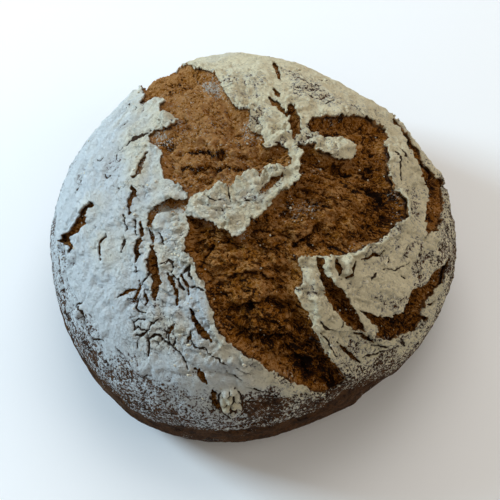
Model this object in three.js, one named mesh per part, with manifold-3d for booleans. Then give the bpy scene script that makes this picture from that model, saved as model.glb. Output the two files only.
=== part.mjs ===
// Round rye loaf, baked free-standing and dusted with flour.
//
// The loaf is one solid. Its skin has torn open in the oven into thick plates with sharp edges,
// and the rougher crust that swelled up between them is cut into the solid as sunken tears.
// Units are millimetres and +Z is up. The origin is the middle of the flat base.

import * as THREE from "three";
import { mergeVertices } from "three/addons/utils/BufferGeometryUtils.js";
import Module from "manifold-3d";

// ---------------------------------------------------------------------------------------------
// Driving dimensions
// ---------------------------------------------------------------------------------------------

const LOAF_RADIUS = 98; // mean radius in plan, at the widest level
const LOAF_HEIGHT = 87; // base to crown
const WIDEST_LEVEL = 27; // height at which the loaf is widest
const UNDERSIDE_REACH = 60; // how far the lower half would reach down if it were not cut flat
const ROUNDNESS = 2.3; // power of the upright section: 2 is an ellipse, more is boxier

// The plan is a circle with a few shallow lobes: so many to a turn, so high, first one at this angle.
const PLAN_LOBES = [
  { count: 2, height: 1.4, turn: 60 },
  { count: 3, height: 2.7, turn: -6.6 },
  { count: 4, height: 0.9, turn: -6 },
  { count: 5, height: 0.75, turn: 28 },
];
const PLAN_MIDDLE = [-2, -1]; // middle of that circle, set so that the lobed plan has its box on the axes

// Each tear states its own wall, the depth just inside its edge, and its swell, how much its middle
// rises again.
const TEAR_WALL_SPREAD = 0.35; // share by which the wall's depth varies along the edge
const TEAR_WALL_WIDTH = 2.6; // how far in from the edge the full depth is reached
const TEAR_SWELL_REACH = 26; // distance from the edge at which a tear is fully risen
const TEAR_LUMP = { size: 11, height: 1.5 }; // coarse lumps of the torn crust
const TEAR_CRAG = { size: 5.5, height: 0.9 }; // smaller crags on them
const SKIN_LUMP = { size: 30, height: 0.9 }; // slow waves of the floured skin
const SKIN_LIP = { width: 9, height: 1.1 }; // the skin curls up a little beside a tear

const FACES_ALONG_AN_EDGE = 28; // divisions of each edge of the starting icosahedron
const EDGE_CATCH = 1.25; // mesh points nearer than this to a tear's edge are moved on to it
const BASE_CLEARANCE = 1.2; // no mesh point stays nearer than this to the base cut, which leaves no splinters
const SEED = 7129;

// ---------------------------------------------------------------------------------------------
// Where the tears run
// ---------------------------------------------------------------------------------------------

// The outlines are drawn on a sheet that leans back under the baker's eye, as [right, up] from the
// middle of the sheet, and are carried on to the crust along the lines of sight.
const SHEET_MIDDLE = new THREE.Vector3(-1.4, 0, 17.4);
const SIGHT_ELEVATION = 62;
const SIGHT_DISTANCE = 600;

// A point that the eye can't reach is given as {turn, lean}: its bearing about the upright axis,
// anticlockwise from +X, and its angle down from the crown, both in degrees.
const TEARS = [
  {
    name: "upper left",
    wall: 3.2,
    swell: 3,
    outline: [
      [-16, 89], [-14, 85], [-13, 80], [-11.5, 75], [-9, 71.5], [-5, 70], [-1, 69.5], [1, 66],
      [0, 59.5], [6, 58.5], [8, 51.5], [11.5, 51], [14, 52.5], [19.5, 48.5], [20, 41], [18, 39.5],
      [11, 41.5], [8, 40.5], [6.5, 37], [4, 34.5], [3, 38.5], [-3.5, 37.5], [-7.5, 32.5], [-11, 31],
      [-16, 34], [-18, 31], [-22.5, 28], [-27.5, 26.5], [-30, 23], [-31, 18.5], [-37.5, 18],
      [-46, 16.5], [-47.5, 10.5], [-49.5, 10.5], [-50, 19], [-45, 23], [-39, 25], [-31.5, 25.5],
      [-33.5, 29.5], [-40, 34], [-43.5, 35], [-44.5, 42.5], [-44.5, 49.5], [-50, 53.5], [-51, 57],
      [-47.5, 59.5], [-39, 60.5], [-36, 63.5], [-41, 67.5], [-45.5, 68], [-43, 74.5], [-47.5, 74],
      [-53.5, 72], [-53, 76.5],
      { turn: 124, lean: 84 }, { turn: 121, lean: 96 }, { turn: 114, lean: 100 },
      { turn: 106, lean: 96 }, { turn: 102, lean: 84 },
    ],
  },
  {
    name: "middle",
    wall: 5,
    swell: 3.8,
    outline: [
      [23, 39], [23.5, 35], [18.5, 30.5], [15, 29], [11.5, 26], [8, 20.5], [3, 17], [0, 16],
      [-1.5, 12], [-7, 7.5], [-11, 10.5], [-22.5, 15.5], [-31.5, 17.5], [-30.5, 11], [-32, 3.5],
      [-29, -4], [-25, -12.5], [-21.5, -22.5], [-19, -30.5], [-15.5, -40], [-9.5, -47.5],
      [0, -53.5], [9, -60], [20, -65], [31, -69], [40, -70], [47.5, -64], [44, -58], [38, -50],
      [32.5, -39], [26.5, -26.5], [23, -21], [26, -14.5], [25.5, -8], [23.5, -4], [35, -3.5],
      [40, -2.5], [44, -4], [51, -1.5], [60, 3], [67, 6.5], [73, 14.5], [76.5, 16], [76, 22.5],
      [73.5, 28], [68.5, 36], [68, 45], [66.5, 53.5], [69, 55], [66.5, 59.5], [60, 64.5],
      [52.5, 67], [40, 66], [35.5, 65], [35, 60.5], [32, 57.5], [40, 55], [45, 54.5], [51, 50],
      [50, 46], [42.5, 45.5], [34, 48.5], [31, 51.5], [22, 52.5], [23.5, 56.5], [28, 56], [28, 60],
      [25, 68], [20, 73], [18, 71], [19.5, 60], [21, 52.5], [24, 48],
    ],
  },
  {
    name: "right side",
    wall: 3.6,
    swell: 1.6,
    outline: [
      [67, 69.5], [71.5, 66], [76, 60], [79, 54], [84, 49], [86, 44], [91.5, 38], [95.5, 35],
      [97, 29], [96.5, 17.5], [94, 12], [89, 8.5], [84.5, 5], [84, 9], [86.5, 19], [86.5, 26.5],
      [83.5, 36], [79.5, 45], [76, 53.5], [70, 64],
    ],
  },
  {
    name: "lower right",
    wall: 3,
    swell: 1.5,
    outline: [
      [55, -30.5], [65, -33], [71, -31.5], [78.5, -26], [81, -21.5], [87.5, -20.5], [91, -15],
      [98, -2.5], [96.5, -9], [92, -20], [87, -26.5], [84.5, -36], [82, -40.5], [72.5, -43],
      [62.5, -44], [59, -41.5], [62, -39], [58, -34.5],
    ],
  },
  {
    name: "lens",
    wall: 3.6,
    swell: 0,
    outline: [
      [34.5, -8], [37.5, -13.5], [43, -18.5], [47.5, -24], [51, -30], [54, -37], [59, -42.5],
      [52.5, -39], [43.5, -32.5], [36.5, -21], [33.5, -13],
    ],
  },
];

// Cracks of the floured skin that are wide enough to model, as V grooves on the same sheet.
const CRACKS = [
  { halfWidth: 3.2, depth: 2.8, line: [[-76, 21], [-82, 16], [-88, 10], [-92, 5], [-87, 5], [-82, 15]] },
  { halfWidth: 3.4, depth: 2.6, line: [[-48.5, 1], [-47, -8], [-46, -15], [-45.5, -22]] },
  { halfWidth: 2.4, depth: 1.6, line: [[-58, 30], [-57, 23], [-58.5, 18]] },
  { halfWidth: 2.4, depth: 1.6, line: [[-54, 8], [-55.5, -3]] },
  { halfWidth: 2.6, depth: 1.8, line: [[-40, -13], [-37, -26], [-30, -34], [-22, -43]] },
  { halfWidth: 2.6, depth: 1.8, line: [[-45, 59], [-50, 59], [-58, 55], [-66, 48.5]] },
];

// ---------------------------------------------------------------------------------------------
// The loaf before it tears
// ---------------------------------------------------------------------------------------------

const HEART = new THREE.Vector3(...PLAN_MIDDLE, WIDEST_LEVEL); // every crust point is measured out from here
const DEGREE = Math.PI / 180;

function planRadius(turn) {
  return PLAN_LOBES.reduce(
    (radius, lobe) => radius + lobe.height * Math.cos(lobe.count * (turn - lobe.turn * DEGREE)),
    LOAF_RADIUS,
  );
}

/** Distance from the heart to the untorn crust along a unit direction. */
function crustReach(direction) {
  const across = Math.hypot(direction.x, direction.y);
  const radius = planRadius(Math.atan2(direction.y, direction.x));
  const rise = direction.z > 0 ? LOAF_HEIGHT - WIDEST_LEVEL : UNDERSIDE_REACH;
  const sum = (across / radius) ** ROUNDNESS + (Math.abs(direction.z) / rise) ** ROUNDNESS;
  return sum ** (-1 / ROUNDNESS);
}

function crustPoint(direction) {
  return direction.clone().multiplyScalar(crustReach(direction)).add(HEART);
}

/** How deep a point lies in the untorn loaf: 1 on the crust, less inside. */
function burial(point) {
  const arm = point.clone().sub(HEART);
  return arm.length() / crustReach(arm.clone().normalize());
}

// ---------------------------------------------------------------------------------------------
// From the sheet to the crust
// ---------------------------------------------------------------------------------------------

const SIGHT_BACK = new THREE.Vector3(0, -Math.cos(SIGHT_ELEVATION * DEGREE), Math.sin(SIGHT_ELEVATION * DEGREE));
const SHEET_UP = new THREE.Vector3(0, Math.sin(SIGHT_ELEVATION * DEGREE), Math.cos(SIGHT_ELEVATION * DEGREE));
const EYE = SHEET_MIDDLE.clone().addScaledVector(SIGHT_BACK, SIGHT_DISTANCE);

/** Direction from the heart to where the line of sight through a sheet point first meets the crust. */
function directionSeenAt(right, up) {
  const onSheet = SHEET_MIDDLE.clone().addScaledVector(SHEET_UP, up);
  onSheet.x += right;
  const sight = onSheet.sub(EYE).normalize();
  const firstStep = SIGHT_DISTANCE - 130;
  const lastStep = SIGHT_DISTANCE + 60;
  const stride = 1;
  let nearest = null;
  let nearestBurial = Infinity;
  for (let step = firstStep; step < lastStep; step += stride) {
    const point = EYE.clone().addScaledVector(sight, step);
    const depth = burial(point);
    if (depth < nearestBurial) {
      nearest = point;
      nearestBurial = depth;
    }
    if (depth <= 1) {
      break;
    }
  }
  return nearest.sub(HEART).normalize();
}

function directionAt(turn, lean) {
  const flat = Math.sin(lean * DEGREE);
  return new THREE.Vector3(flat * Math.cos(turn * DEGREE), flat * Math.sin(turn * DEGREE), Math.cos(lean * DEGREE));
}

function toDirection(place) {
  return Array.isArray(place) ? directionSeenAt(place[0], place[1]) : directionAt(place.turn, place.lean);
}

/** The crown is the middle of this flat map, and distance from it is the angle down from the crown. */
function mapPoint(direction) {
  const lean = Math.acos(THREE.MathUtils.clamp(direction.z, -1, 1));
  const turn = Math.atan2(direction.y, direction.x);
  return new THREE.Vector2(lean * Math.cos(turn), lean * Math.sin(turn));
}

/** A smooth run of crust points through hand-placed ones. */
function crustLine(places, closed) {
  const spacing = 2.2;
  const corners = places.map((place) => crustPoint(toDirection(place)));
  const curve = new THREE.CatmullRomCurve3(corners, closed, "centripetal");
  const count = Math.ceil(curve.getLength() / spacing);
  const directions = curve.getSpacedPoints(count).map((point) => point.sub(HEART).normalize());
  return { points: directions.map(crustPoint), map: directions.map(mapPoint) };
}

function isInside(spot, ring) {
  let inside = false;
  for (let i = 0, j = ring.length - 1; i < ring.length; j = i, i += 1) {
    const a = ring[i];
    const b = ring[j];
    if (a.y > spot.y !== b.y > spot.y && spot.x < a.x + ((b.x - a.x) * (spot.y - a.y)) / (b.y - a.y)) {
      inside = !inside;
    }
  }
  return inside;
}

/** The nearest place to a point on a run of crust points, and how far away it is. */
function nearestOn(points, point) {
  const leg = new THREE.Line3();
  const foot = new THREE.Vector3();
  const nearest = new THREE.Vector3();
  let distance = Infinity;
  for (let i = 0; i + 1 < points.length; i += 1) {
    leg.set(points[i], points[i + 1]).closestPointToPoint(point, true, foot);
    const apart = foot.distanceTo(point);
    if (apart < distance) {
      distance = apart;
      nearest.copy(foot);
    }
  }
  return { distance, nearest };
}

// ---------------------------------------------------------------------------------------------
// Relief
// ---------------------------------------------------------------------------------------------

function latticeValue(x, y, z) {
  let mixed = Math.imul(x, 374761393) ^ Math.imul(y, 668265263) ^ Math.imul(z, 1440662683) ^ SEED;
  mixed = Math.imul(mixed ^ (mixed >>> 13), 1274126177);
  return ((mixed ^ (mixed >>> 16)) >>> 0) / 2147483647.5 - 1;
}

/** Smooth seeded noise between -1 and 1 with lumps of about the given size. */
function lumps(point, size) {
  const cell = point.clone().divideScalar(size);
  const corner = cell.clone().floor();
  const part = cell.sub(corner);
  const ease = (t) => t * t * (3 - 2 * t);
  const along = [part.x, part.y, part.z].map(ease);
  let value = 0;
  for (let i = 0; i < 8; i += 1) {
    const side = [i & 1, (i >> 1) & 1, (i >> 2) & 1];
    const weight = side.reduce((product, s, axis) => product * (s ? along[axis] : 1 - along[axis]), 1);
    value += weight * latticeValue(corner.x + side[0], corner.y + side[1], corner.z + side[2]);
  }
  return value;
}

/** Height of the torn crust over the untorn one, less than 0, at a distance in from the tear's edge. */
function tearFloor(point, inward, tear) {
  const wall = tear.wall * (1 + TEAR_WALL_SPREAD * lumps(point, 24));
  const sunk = wall * THREE.MathUtils.smoothstep(inward, 0, TEAR_WALL_WIDTH);
  const risen = tear.swell * THREE.MathUtils.smoothstep(inward, TEAR_WALL_WIDTH, TEAR_SWELL_REACH);
  const coarse = TEAR_LUMP.height * lumps(point, TEAR_LUMP.size);
  const fine = TEAR_CRAG.height * lumps(point, TEAR_CRAG.size);
  return risen - sunk + (coarse + fine) * THREE.MathUtils.smoothstep(inward, 0, 2 * TEAR_WALL_WIDTH);
}

/** Height of the floured skin over the untorn crust, at a distance out from the nearest tear. */
function skinHeight(point, outward) {
  const curl = SKIN_LIP.height * (1 - THREE.MathUtils.smoothstep(outward, 0, SKIN_LIP.width));
  const aboveBase = THREE.MathUtils.smoothstep(point.z, 0, WIDEST_LEVEL);
  return aboveBase * (curl + SKIN_LUMP.height * lumps(point, SKIN_LUMP.size));
}

function crackDepth(point, cracks) {
  return cracks.reduce((deepest, crack) => {
    const { distance } = nearestOn(crack.points, point);
    const depth = crack.depth * (1 - THREE.MathUtils.smoothstep(distance, 0, crack.halfWidth));
    return Math.max(deepest, depth);
  }, 0);
}

// ---------------------------------------------------------------------------------------------
// Mesh
// ---------------------------------------------------------------------------------------------

/** A ball of near-equal triangles, with only its shared points left. */
function evenBall() {
  const ball = new THREE.IcosahedronGeometry(1, FACES_ALONG_AN_EDGE);
  ball.deleteAttribute("normal");
  ball.deleteAttribute("uv");
  return mergeVertices(ball, 1e-5);
}

function nearestEdge(tears, point) {
  return tears
    .map((tear) => nearestOn(tear.points, point))
    .reduce((best, other) => (other.distance < best.distance ? other : best));
}

/** The finished crust point for one direction from the heart. */
function loafPoint(direction, tears, cracks) {
  let point = crustPoint(direction);
  let edge = nearestEdge(tears, point);
  let outward = direction;
  if (edge.distance < EDGE_CATCH) {
    outward = edge.nearest.clone().sub(HEART).normalize();
    point = crustPoint(outward);
    edge = { distance: 0 };
  }
  const spot = mapPoint(outward);
  const tear = edge.distance > 0 ? tears.find((one) => isInside(spot, one.map)) : undefined;
  const height = tear ? tearFloor(point, edge.distance, tear) : skinHeight(point, edge.distance);
  const groove = tear ? 0 : crackDepth(point, cracks);
  return point.addScaledVector(outward, height - groove);
}

function loafBlank() {
  const tears = TEARS.map((tear) => ({ ...tear, ...crustLine(tear.outline, true) }));
  const cracks = CRACKS.map((crack) => ({ ...crack, ...crustLine(crack.line, false) }));
  const geometry = evenBall();
  const position = geometry.getAttribute("position");
  const direction = new THREE.Vector3();
  for (let i = 0; i < position.count; i += 1) {
    direction.fromBufferAttribute(position, i).normalize();
    const point = loafPoint(direction, tears, cracks);
    if (Math.abs(point.z) < BASE_CLEARANCE) {
      point.z = point.z < 0 ? -BASE_CLEARANCE : BASE_CLEARANCE;
    }
    position.setXYZ(i, point.x, point.y, point.z);
  }
  return geometry;
}

const wasm = await Module();
wasm.setup();

function toSolid(geometry) {
  const mesh = new wasm.Mesh({
    numProp: 3,
    vertProperties: Float32Array.from(geometry.getAttribute("position").array),
    triVerts: Uint32Array.from(geometry.getIndex().array),
  });
  return new wasm.Manifold(mesh);
}

function toGeometry(solid) {
  const mesh = solid.getMesh();
  const geometry = new THREE.BufferGeometry();
  geometry.setAttribute("position", new THREE.BufferAttribute(mesh.vertProperties, 3));
  geometry.setIndex(new THREE.BufferAttribute(mesh.triVerts, 1));
  return geometry;
}

/** Moves a geometry so that its box is centred on the upright axis. */
function centred(geometry) {
  geometry.computeBoundingBox();
  const middle = geometry.boundingBox.getCenter(new THREE.Vector3());
  return geometry.translate(-middle.x, -middle.y, 0);
}

/** The loaf, cut off flat where it rests on the baking stone. */
function loafGeometry() {
  const side = 4 * LOAF_RADIUS;
  const stone = new THREE.BoxGeometry(side, side, side).translate(0, 0, -side / 2);
  stone.deleteAttribute("normal");
  stone.deleteAttribute("uv");
  const loaf = toSolid(loafBlank()).subtract(toSolid(mergeVertices(stone)));
  return centred(toGeometry(loaf));
}

// ---------------------------------------------------------------------------------------------
// Model
// ---------------------------------------------------------------------------------------------

const crust = new THREE.MeshStandardMaterial({ color: "#7d6a55", roughness: 0.92, metalness: 0 });

const loaf = new THREE.Mesh(loafGeometry(), crust);
loaf.name = "loaf";

const model = new THREE.Group();
model.add(loaf);

export default model;
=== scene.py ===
"""Looks of a round rye loaf: torn brown crust, a floured skin over it, and lumps and bits of flour.

All lengths in the classes below are in millimetres, and meshes are written in metres. The crust is
described from the loaf's heart: every crust point lies along a direction from there, and relief moves
it in or out along that direction.
"""
import logging
import math
from dataclasses import dataclass
from enum import Enum
from functools import cached_property
from typing import Callable, NamedTuple, Sequence

import bpy
import numpy as np
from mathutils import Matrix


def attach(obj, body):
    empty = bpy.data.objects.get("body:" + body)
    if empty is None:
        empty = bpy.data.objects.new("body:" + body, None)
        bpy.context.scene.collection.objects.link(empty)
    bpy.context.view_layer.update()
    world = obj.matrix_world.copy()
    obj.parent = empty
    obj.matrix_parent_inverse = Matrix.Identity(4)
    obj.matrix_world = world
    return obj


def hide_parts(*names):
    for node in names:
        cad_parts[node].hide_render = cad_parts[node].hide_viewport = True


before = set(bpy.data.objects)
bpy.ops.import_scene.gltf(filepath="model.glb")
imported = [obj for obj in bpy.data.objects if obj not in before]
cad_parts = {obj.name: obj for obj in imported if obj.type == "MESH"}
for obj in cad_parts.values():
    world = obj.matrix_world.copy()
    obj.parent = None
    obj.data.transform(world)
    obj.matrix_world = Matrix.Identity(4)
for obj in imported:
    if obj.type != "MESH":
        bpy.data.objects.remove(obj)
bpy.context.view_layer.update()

LOG = logging.getLogger("rye_loaf")
MM = 0.001
Points = np.ndarray
Values = np.ndarray
Place = tuple[float, float]
Colour = tuple[float, float, float, float]
Socket = bpy.types.NodeSocket


class Slot(Enum):
    """Slot names of the two finishes."""

    CRUST = "rye_crust"
    FLOUR = "flour_dust"


# ---- Small tools on arrays ----


def ease(values: Values, low: float, high: float) -> Values:
    """Smooth step from 0 at low to 1 at high."""
    share = np.clip((values - low) / (high - low), 0.0, 1.0)
    return share * share * (3.0 - 2.0 * share)


def unit(points: Points) -> Points:
    """Rows scaled to length 1."""
    return points / np.linalg.norm(points, axis=1, keepdims=True)


@dataclass(frozen=True)
class Grain:
    """Seeded noise over points in millimetres.

    Attributes:
        seed: Number that picks the pattern.
    """

    seed: int

    # Large odd numbers that scatter the bits of a lattice corner's place.
    LATTICE = np.array([374761393, 668265263, 1440662683])
    SEED_STEP = 974634777
    MIXERS = ((13, 1274126177), (15, 2246822519))
    WORD = 0xFFFFFFFF
    HALF_BYTE = 127.5
    CELL_SEED = 101

    def _mixed(self, corners: np.ndarray, extra: int = 0) -> Values:
        """Well mixed 32-bit number for each lattice corner.

        Args:
            corners: Whole numbers of the corners.
            extra: Picks another pattern of the same seed.

        Returns:
            One number for each corner.
        """
        start = corners @ self.LATTICE + (self.seed + extra) * self.SEED_STEP
        mixed = (start & self.WORD).astype(np.uint64)
        for shift, factor in self.MIXERS:
            mixed = ((mixed ^ (mixed >> np.uint64(shift))) * np.uint64(factor)) & np.uint64(self.WORD)
        return mixed ^ (mixed >> np.uint64(16))

    @staticmethod
    def _bytes(mixed: Values, *which: int) -> Values:
        """Chosen bytes of mixed numbers, 0 to 255, one column for each."""
        return np.stack([((mixed >> np.uint64(8 * k)) & np.uint64(255)).astype(float) for k in which], 1)

    def smooth(self, points: Points, size: float) -> Values:
        """Gradient noise, about -1 to 1, with lumps of about the given size.

        Args:
            points: Where to look.
            size: Size of the lumps.

        Returns:
            One value for each point.
        """
        cell = points / size
        corner = np.floor(cell).astype(np.int64)
        part = cell - corner
        fade = part**3 * (part * (part * 6.0 - 15.0) + 10.0)
        total = np.zeros(len(points))
        for z, y, x in np.ndindex(2, 2, 2):
            side = np.array([x, y, z])
            slope = self._bytes(self._mixed(corner + side), 0, 1, 2) / self.HALF_BYTE - 1.0
            weight = np.prod(np.where(side == 1, fade, 1.0 - fade), axis=1)
            total += weight * np.sum(slope * (part - side), axis=1)
        return 1.4 * total

    def layers(self, points: Points, *layers: tuple[float, float]) -> Values:
        """Smooth noises on top of each other, each given as (height, size)."""
        return sum(height * self.smooth(points, size) for height, size in layers)

    def rough(self, points: Points, size: float, octaves: int, gain: float) -> Values:
        """Smooth noise with ever smaller lumps on top."""
        sizes = [(gain**octave, 17.3 * octave, size / 2**octave) for octave in range(octaves)]
        return sum(height * self.smooth(points + shift, small) for height, shift, small in sizes)

    def ridged(self, points: Points, size: float, octaves: int, gain: float) -> Values:
        """Sharp crests between rounded hollows, 0 to about 1.

        Args:
            points: Where to look.
            size: Distance between the largest crests.
            octaves: How many ever smaller patterns are added.
            gain: Height of each over the one before.

        Returns:
            One value for each point.
        """
        total = np.zeros(len(points))
        for octave in range(octaves):
            crest = 1.0 - np.abs(self.smooth(points + 31.7 * octave, size / 2**octave))
            total += gain**octave * crest * crest
        return total * (1.0 - gain) / (1.0 - gain**octaves)

    def cells(self, points: Points, size: float) -> tuple[Values, Values, Values]:
        """Scattered cells.

        Args:
            points: Where to look.
            size: Mean size of a cell.

        Returns:
            Distance to the nearest cell's middle and to the second nearest, both in cell sizes, and
            the nearest cell's own number from 0 to 1.
        """
        cell = points / size
        corner = np.floor(cell).astype(np.int64)
        first, second = np.full((2, len(points)), 9.0)
        number = np.zeros(len(points))
        for z, y, x in np.ndindex(3, 3, 3):
            spot = corner + np.array([x - 1, y - 1, z - 1])
            drawn = self._bytes(self._mixed(spot, self.CELL_SEED), 0, 1, 2, 3) / 255.0
            apart = np.linalg.norm(spot + drawn[:, :3] - cell, axis=1)
            closer = apart < first
            second = np.where(closer, first, np.minimum(second, apart))
            number = np.where(closer, drawn[:, 3], number)
            first = np.where(closer, apart, first)
        return first, second, number

    def warped(self, points: Points, size: float, amount: float) -> Points:
        """Points pushed about, so that patterns drawn there lose their regular look."""
        push = [self.smooth(points + 40.0 * (axis + 1), size) for axis in range(3)]
        return points + amount * np.stack(push, axis=1)

    def flakes(self, places: Points, size: float, amount: float) -> Values:
        """Overlapping crumbly flakes: each stands at its own height, with a gap round it.

        Args:
            places: Where to look.
            size: Mean size of a flake.
            amount: Height from the lowest flake to the highest.

        Returns:
            Height at each place.
        """
        nearest, second, number = self.cells(self.warped(places, 0.6 * size, 0.3 * size), size)
        gap = 1.0 - ease(second - nearest, 0.0, 0.22)
        return amount * (number - 0.5 + 0.35 * (0.5 - nearest) - 0.55 * gap)


# ---- The loaf before it tears, and the slanting sheet on which its features are drawn ----


@dataclass(frozen=True)
class LoafForm:
    """Untorn loaf: a lobed round plan with a rounded upright section.

    Attributes:
        radius: Mean plan radius at the widest level.
        height: Base to crown.
        widest: Height of the widest level.
        underside: How far the lower half would reach down if it were not cut flat.
        roundness: Power of the upright section.
        lobes: Shallow lobes of the plan, each (count, height, bearing in degrees).
        middle: Middle of the plan.
    """

    radius: float = 98.0
    height: float = 87.0
    widest: float = 27.0
    underside: float = 60.0
    roundness: float = 2.3
    lobes: tuple[tuple[int, float, float], ...] = (
        (2, 1.4, 60.0), (3, 2.7, -6.6), (4, 0.9, -6.0), (5, 0.75, 28.0),
    )
    middle: Place = (-2.0, -1.0)

    @property
    def heart(self) -> Values:
        """Point from which all crust directions are taken."""
        return np.array([*self.middle, self.widest])

    def reach(self, directions: Points) -> Values:
        """Distance from the heart to the untorn crust along unit directions.

        Args:
            directions: Unit directions from the heart.

        Returns:
            One distance for each direction.
        """
        turn = np.arctan2(directions[:, 1], directions[:, 0])
        radius = self.radius + sum(
            height * np.cos(count * (turn - math.radians(bearing))) for count, height, bearing in self.lobes
        )
        across = np.hypot(directions[:, 0], directions[:, 1])
        rise = np.where(directions[:, 2] > 0, self.height - self.widest, self.underside)
        total = (across / radius) ** self.roundness + (np.abs(directions[:, 2]) / rise) ** self.roundness
        return total ** (-1.0 / self.roundness)

    def crust(self, directions: Points) -> Points:
        """Points of the untorn crust along unit directions."""
        return self.heart + directions * self.reach(directions)[:, None]

    def directions(self, points: Points) -> Points:
        """Unit directions from the heart to points."""
        return unit(points - self.heart)


@dataclass(frozen=True)
class Sheet:
    """Slanting sheet under the baker's eye. Features are drawn on it as (right, up) from its middle.

    Attributes:
        middle: Middle of the sheet.
        elevation: How high above level the eye stands, in degrees.
        distance: From the eye to the sheet's middle.
        width: Width of the sheet that the eye takes in.
    """

    middle: tuple[float, float, float] = (-1.4, 0.0, 17.4)
    elevation: float = 62.0
    distance: float = 600.0
    width: float = 250.0

    SEARCH = (-130.0, 60.0, 0.5)

    @property
    def back(self) -> Values:
        """Unit direction from the sheet to the eye."""
        rise = math.radians(self.elevation)
        return np.array([0.0, -math.cos(rise), math.sin(rise)])

    @property
    def upward(self) -> Values:
        """Unit direction of the sheet's up side."""
        rise = math.radians(self.elevation)
        return np.array([0.0, math.sin(rise), math.cos(rise)])

    @property
    def eye(self) -> Values:
        """Place of the eye."""
        return np.array(self.middle) + self.distance * self.back

    def seen_at(self, points: Points) -> Points:
        """Where points are seen on the sheet, as (right, up)."""
        arm = points - self.eye
        scale = self.distance / -(arm @ self.back)
        return np.stack([arm[:, 0] * scale, (arm @ self.upward) * scale], axis=1)

    def carried(self, places: Sequence[Place], form: LoafForm) -> Points:
        """Directions from the heart to where lines of sight through sheet places meet the crust.

        Args:
            places: Places on the sheet.
            form: The loaf.

        Returns:
            One unit direction for each place. A line that passes the loaf gives its nearest point.
        """
        flat = np.array(places, dtype=float)
        on_sheet = np.array(self.middle) + flat[:, 1:] * self.upward + flat[:, :1] * np.array([1.0, 0.0, 0.0])
        sight = unit(on_sheet - self.eye)
        first, last, stride = self.SEARCH
        steps = np.arange(self.distance + first, self.distance + last, stride)
        spots = self.eye + steps[None, :, None] * sight[:, None, :]
        arms = (spots - form.heart).reshape(-1, 3)
        depth = (np.linalg.norm(arms, axis=1) / form.reach(unit(arms))).reshape(len(flat), -1)
        inside = depth <= 1.0
        hit = np.where(inside.any(axis=1), inside.argmax(axis=1), depth.argmin(axis=1))
        return unit(spots[np.arange(len(flat)), hit] - form.heart)


# ---- Tears, cracks and other features of the crust ----


@dataclass(frozen=True)
class Tear:
    """Wide opening of the skin.

    Attributes:
        wall: Depth just inside its edge.
        swell: How much its middle rises again.
        outline: Sheet places round it.
        behind: Further places that the eye can't reach, as (bearing, angle from the crown) in degrees.
    """

    wall: float
    swell: float
    outline: tuple[Place, ...]
    behind: tuple[Place, ...] = ()


@dataclass(frozen=True)
class Crack:
    """Narrow opening of the skin along a line on the sheet, tapering to both ends."""

    half_width: float
    depth: float
    line: tuple[Place, ...]


@dataclass(frozen=True)
class Slit:
    """Hairline split of the flour along a line on the sheet. It doesn't go through the skin."""

    half_width: float
    line: tuple[Place, ...]


@dataclass(frozen=True)
class Ledge:
    """Line on the sheet, drawn from left to right, below which the torn crust drops."""

    drop: float
    reach: float
    line: tuple[Place, ...]

    def below(self, places: Points) -> Values:
        """How far sheet places lie below the line, negative above it.

        Args:
            places: Places on the sheet.

        Returns:
            One distance for each place.
        """
        line = np.array(self.line, dtype=float)
        start, leg = line[:-1], line[1:] - line[:-1]
        arm = places[:, None, :] - start
        share = np.clip(np.sum(arm * leg, axis=2) / np.sum(leg * leg, axis=1), 0.0, 1.0)
        length = np.linalg.norm(arm - share[:, :, None] * leg, axis=2)
        rows, nearest = np.arange(len(places)), length.argmin(axis=1)
        side = leg[nearest, 1] * arm[rows, nearest, 0] - leg[nearest, 0] * arm[rows, nearest, 1]
        return np.where(side > 0, length[rows, nearest], -length[rows, nearest])


@dataclass(frozen=True)
class Spots:
    """Ovals with soft edges on the sheet, for whatever is stronger in some places.

    Attributes:
        rows: Each oval as (right, up, half width, half height, amount).
    """

    rows: tuple[tuple[float, float, float, float, float], ...]

    def at(self, places: Points) -> Values:
        """Summed amounts at sheet places.

        Args:
            places: Places on the sheet.

        Returns:
            One sum for each place.
        """
        total = np.zeros(len(places))
        for right, up, wide, tall, amount in self.rows:
            apart = np.hypot((places[:, 0] - right) / wide, (places[:, 1] - up) / tall)
            total += amount * (1.0 - ease(apart, 0.2, 1.2))
        return total


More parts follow.
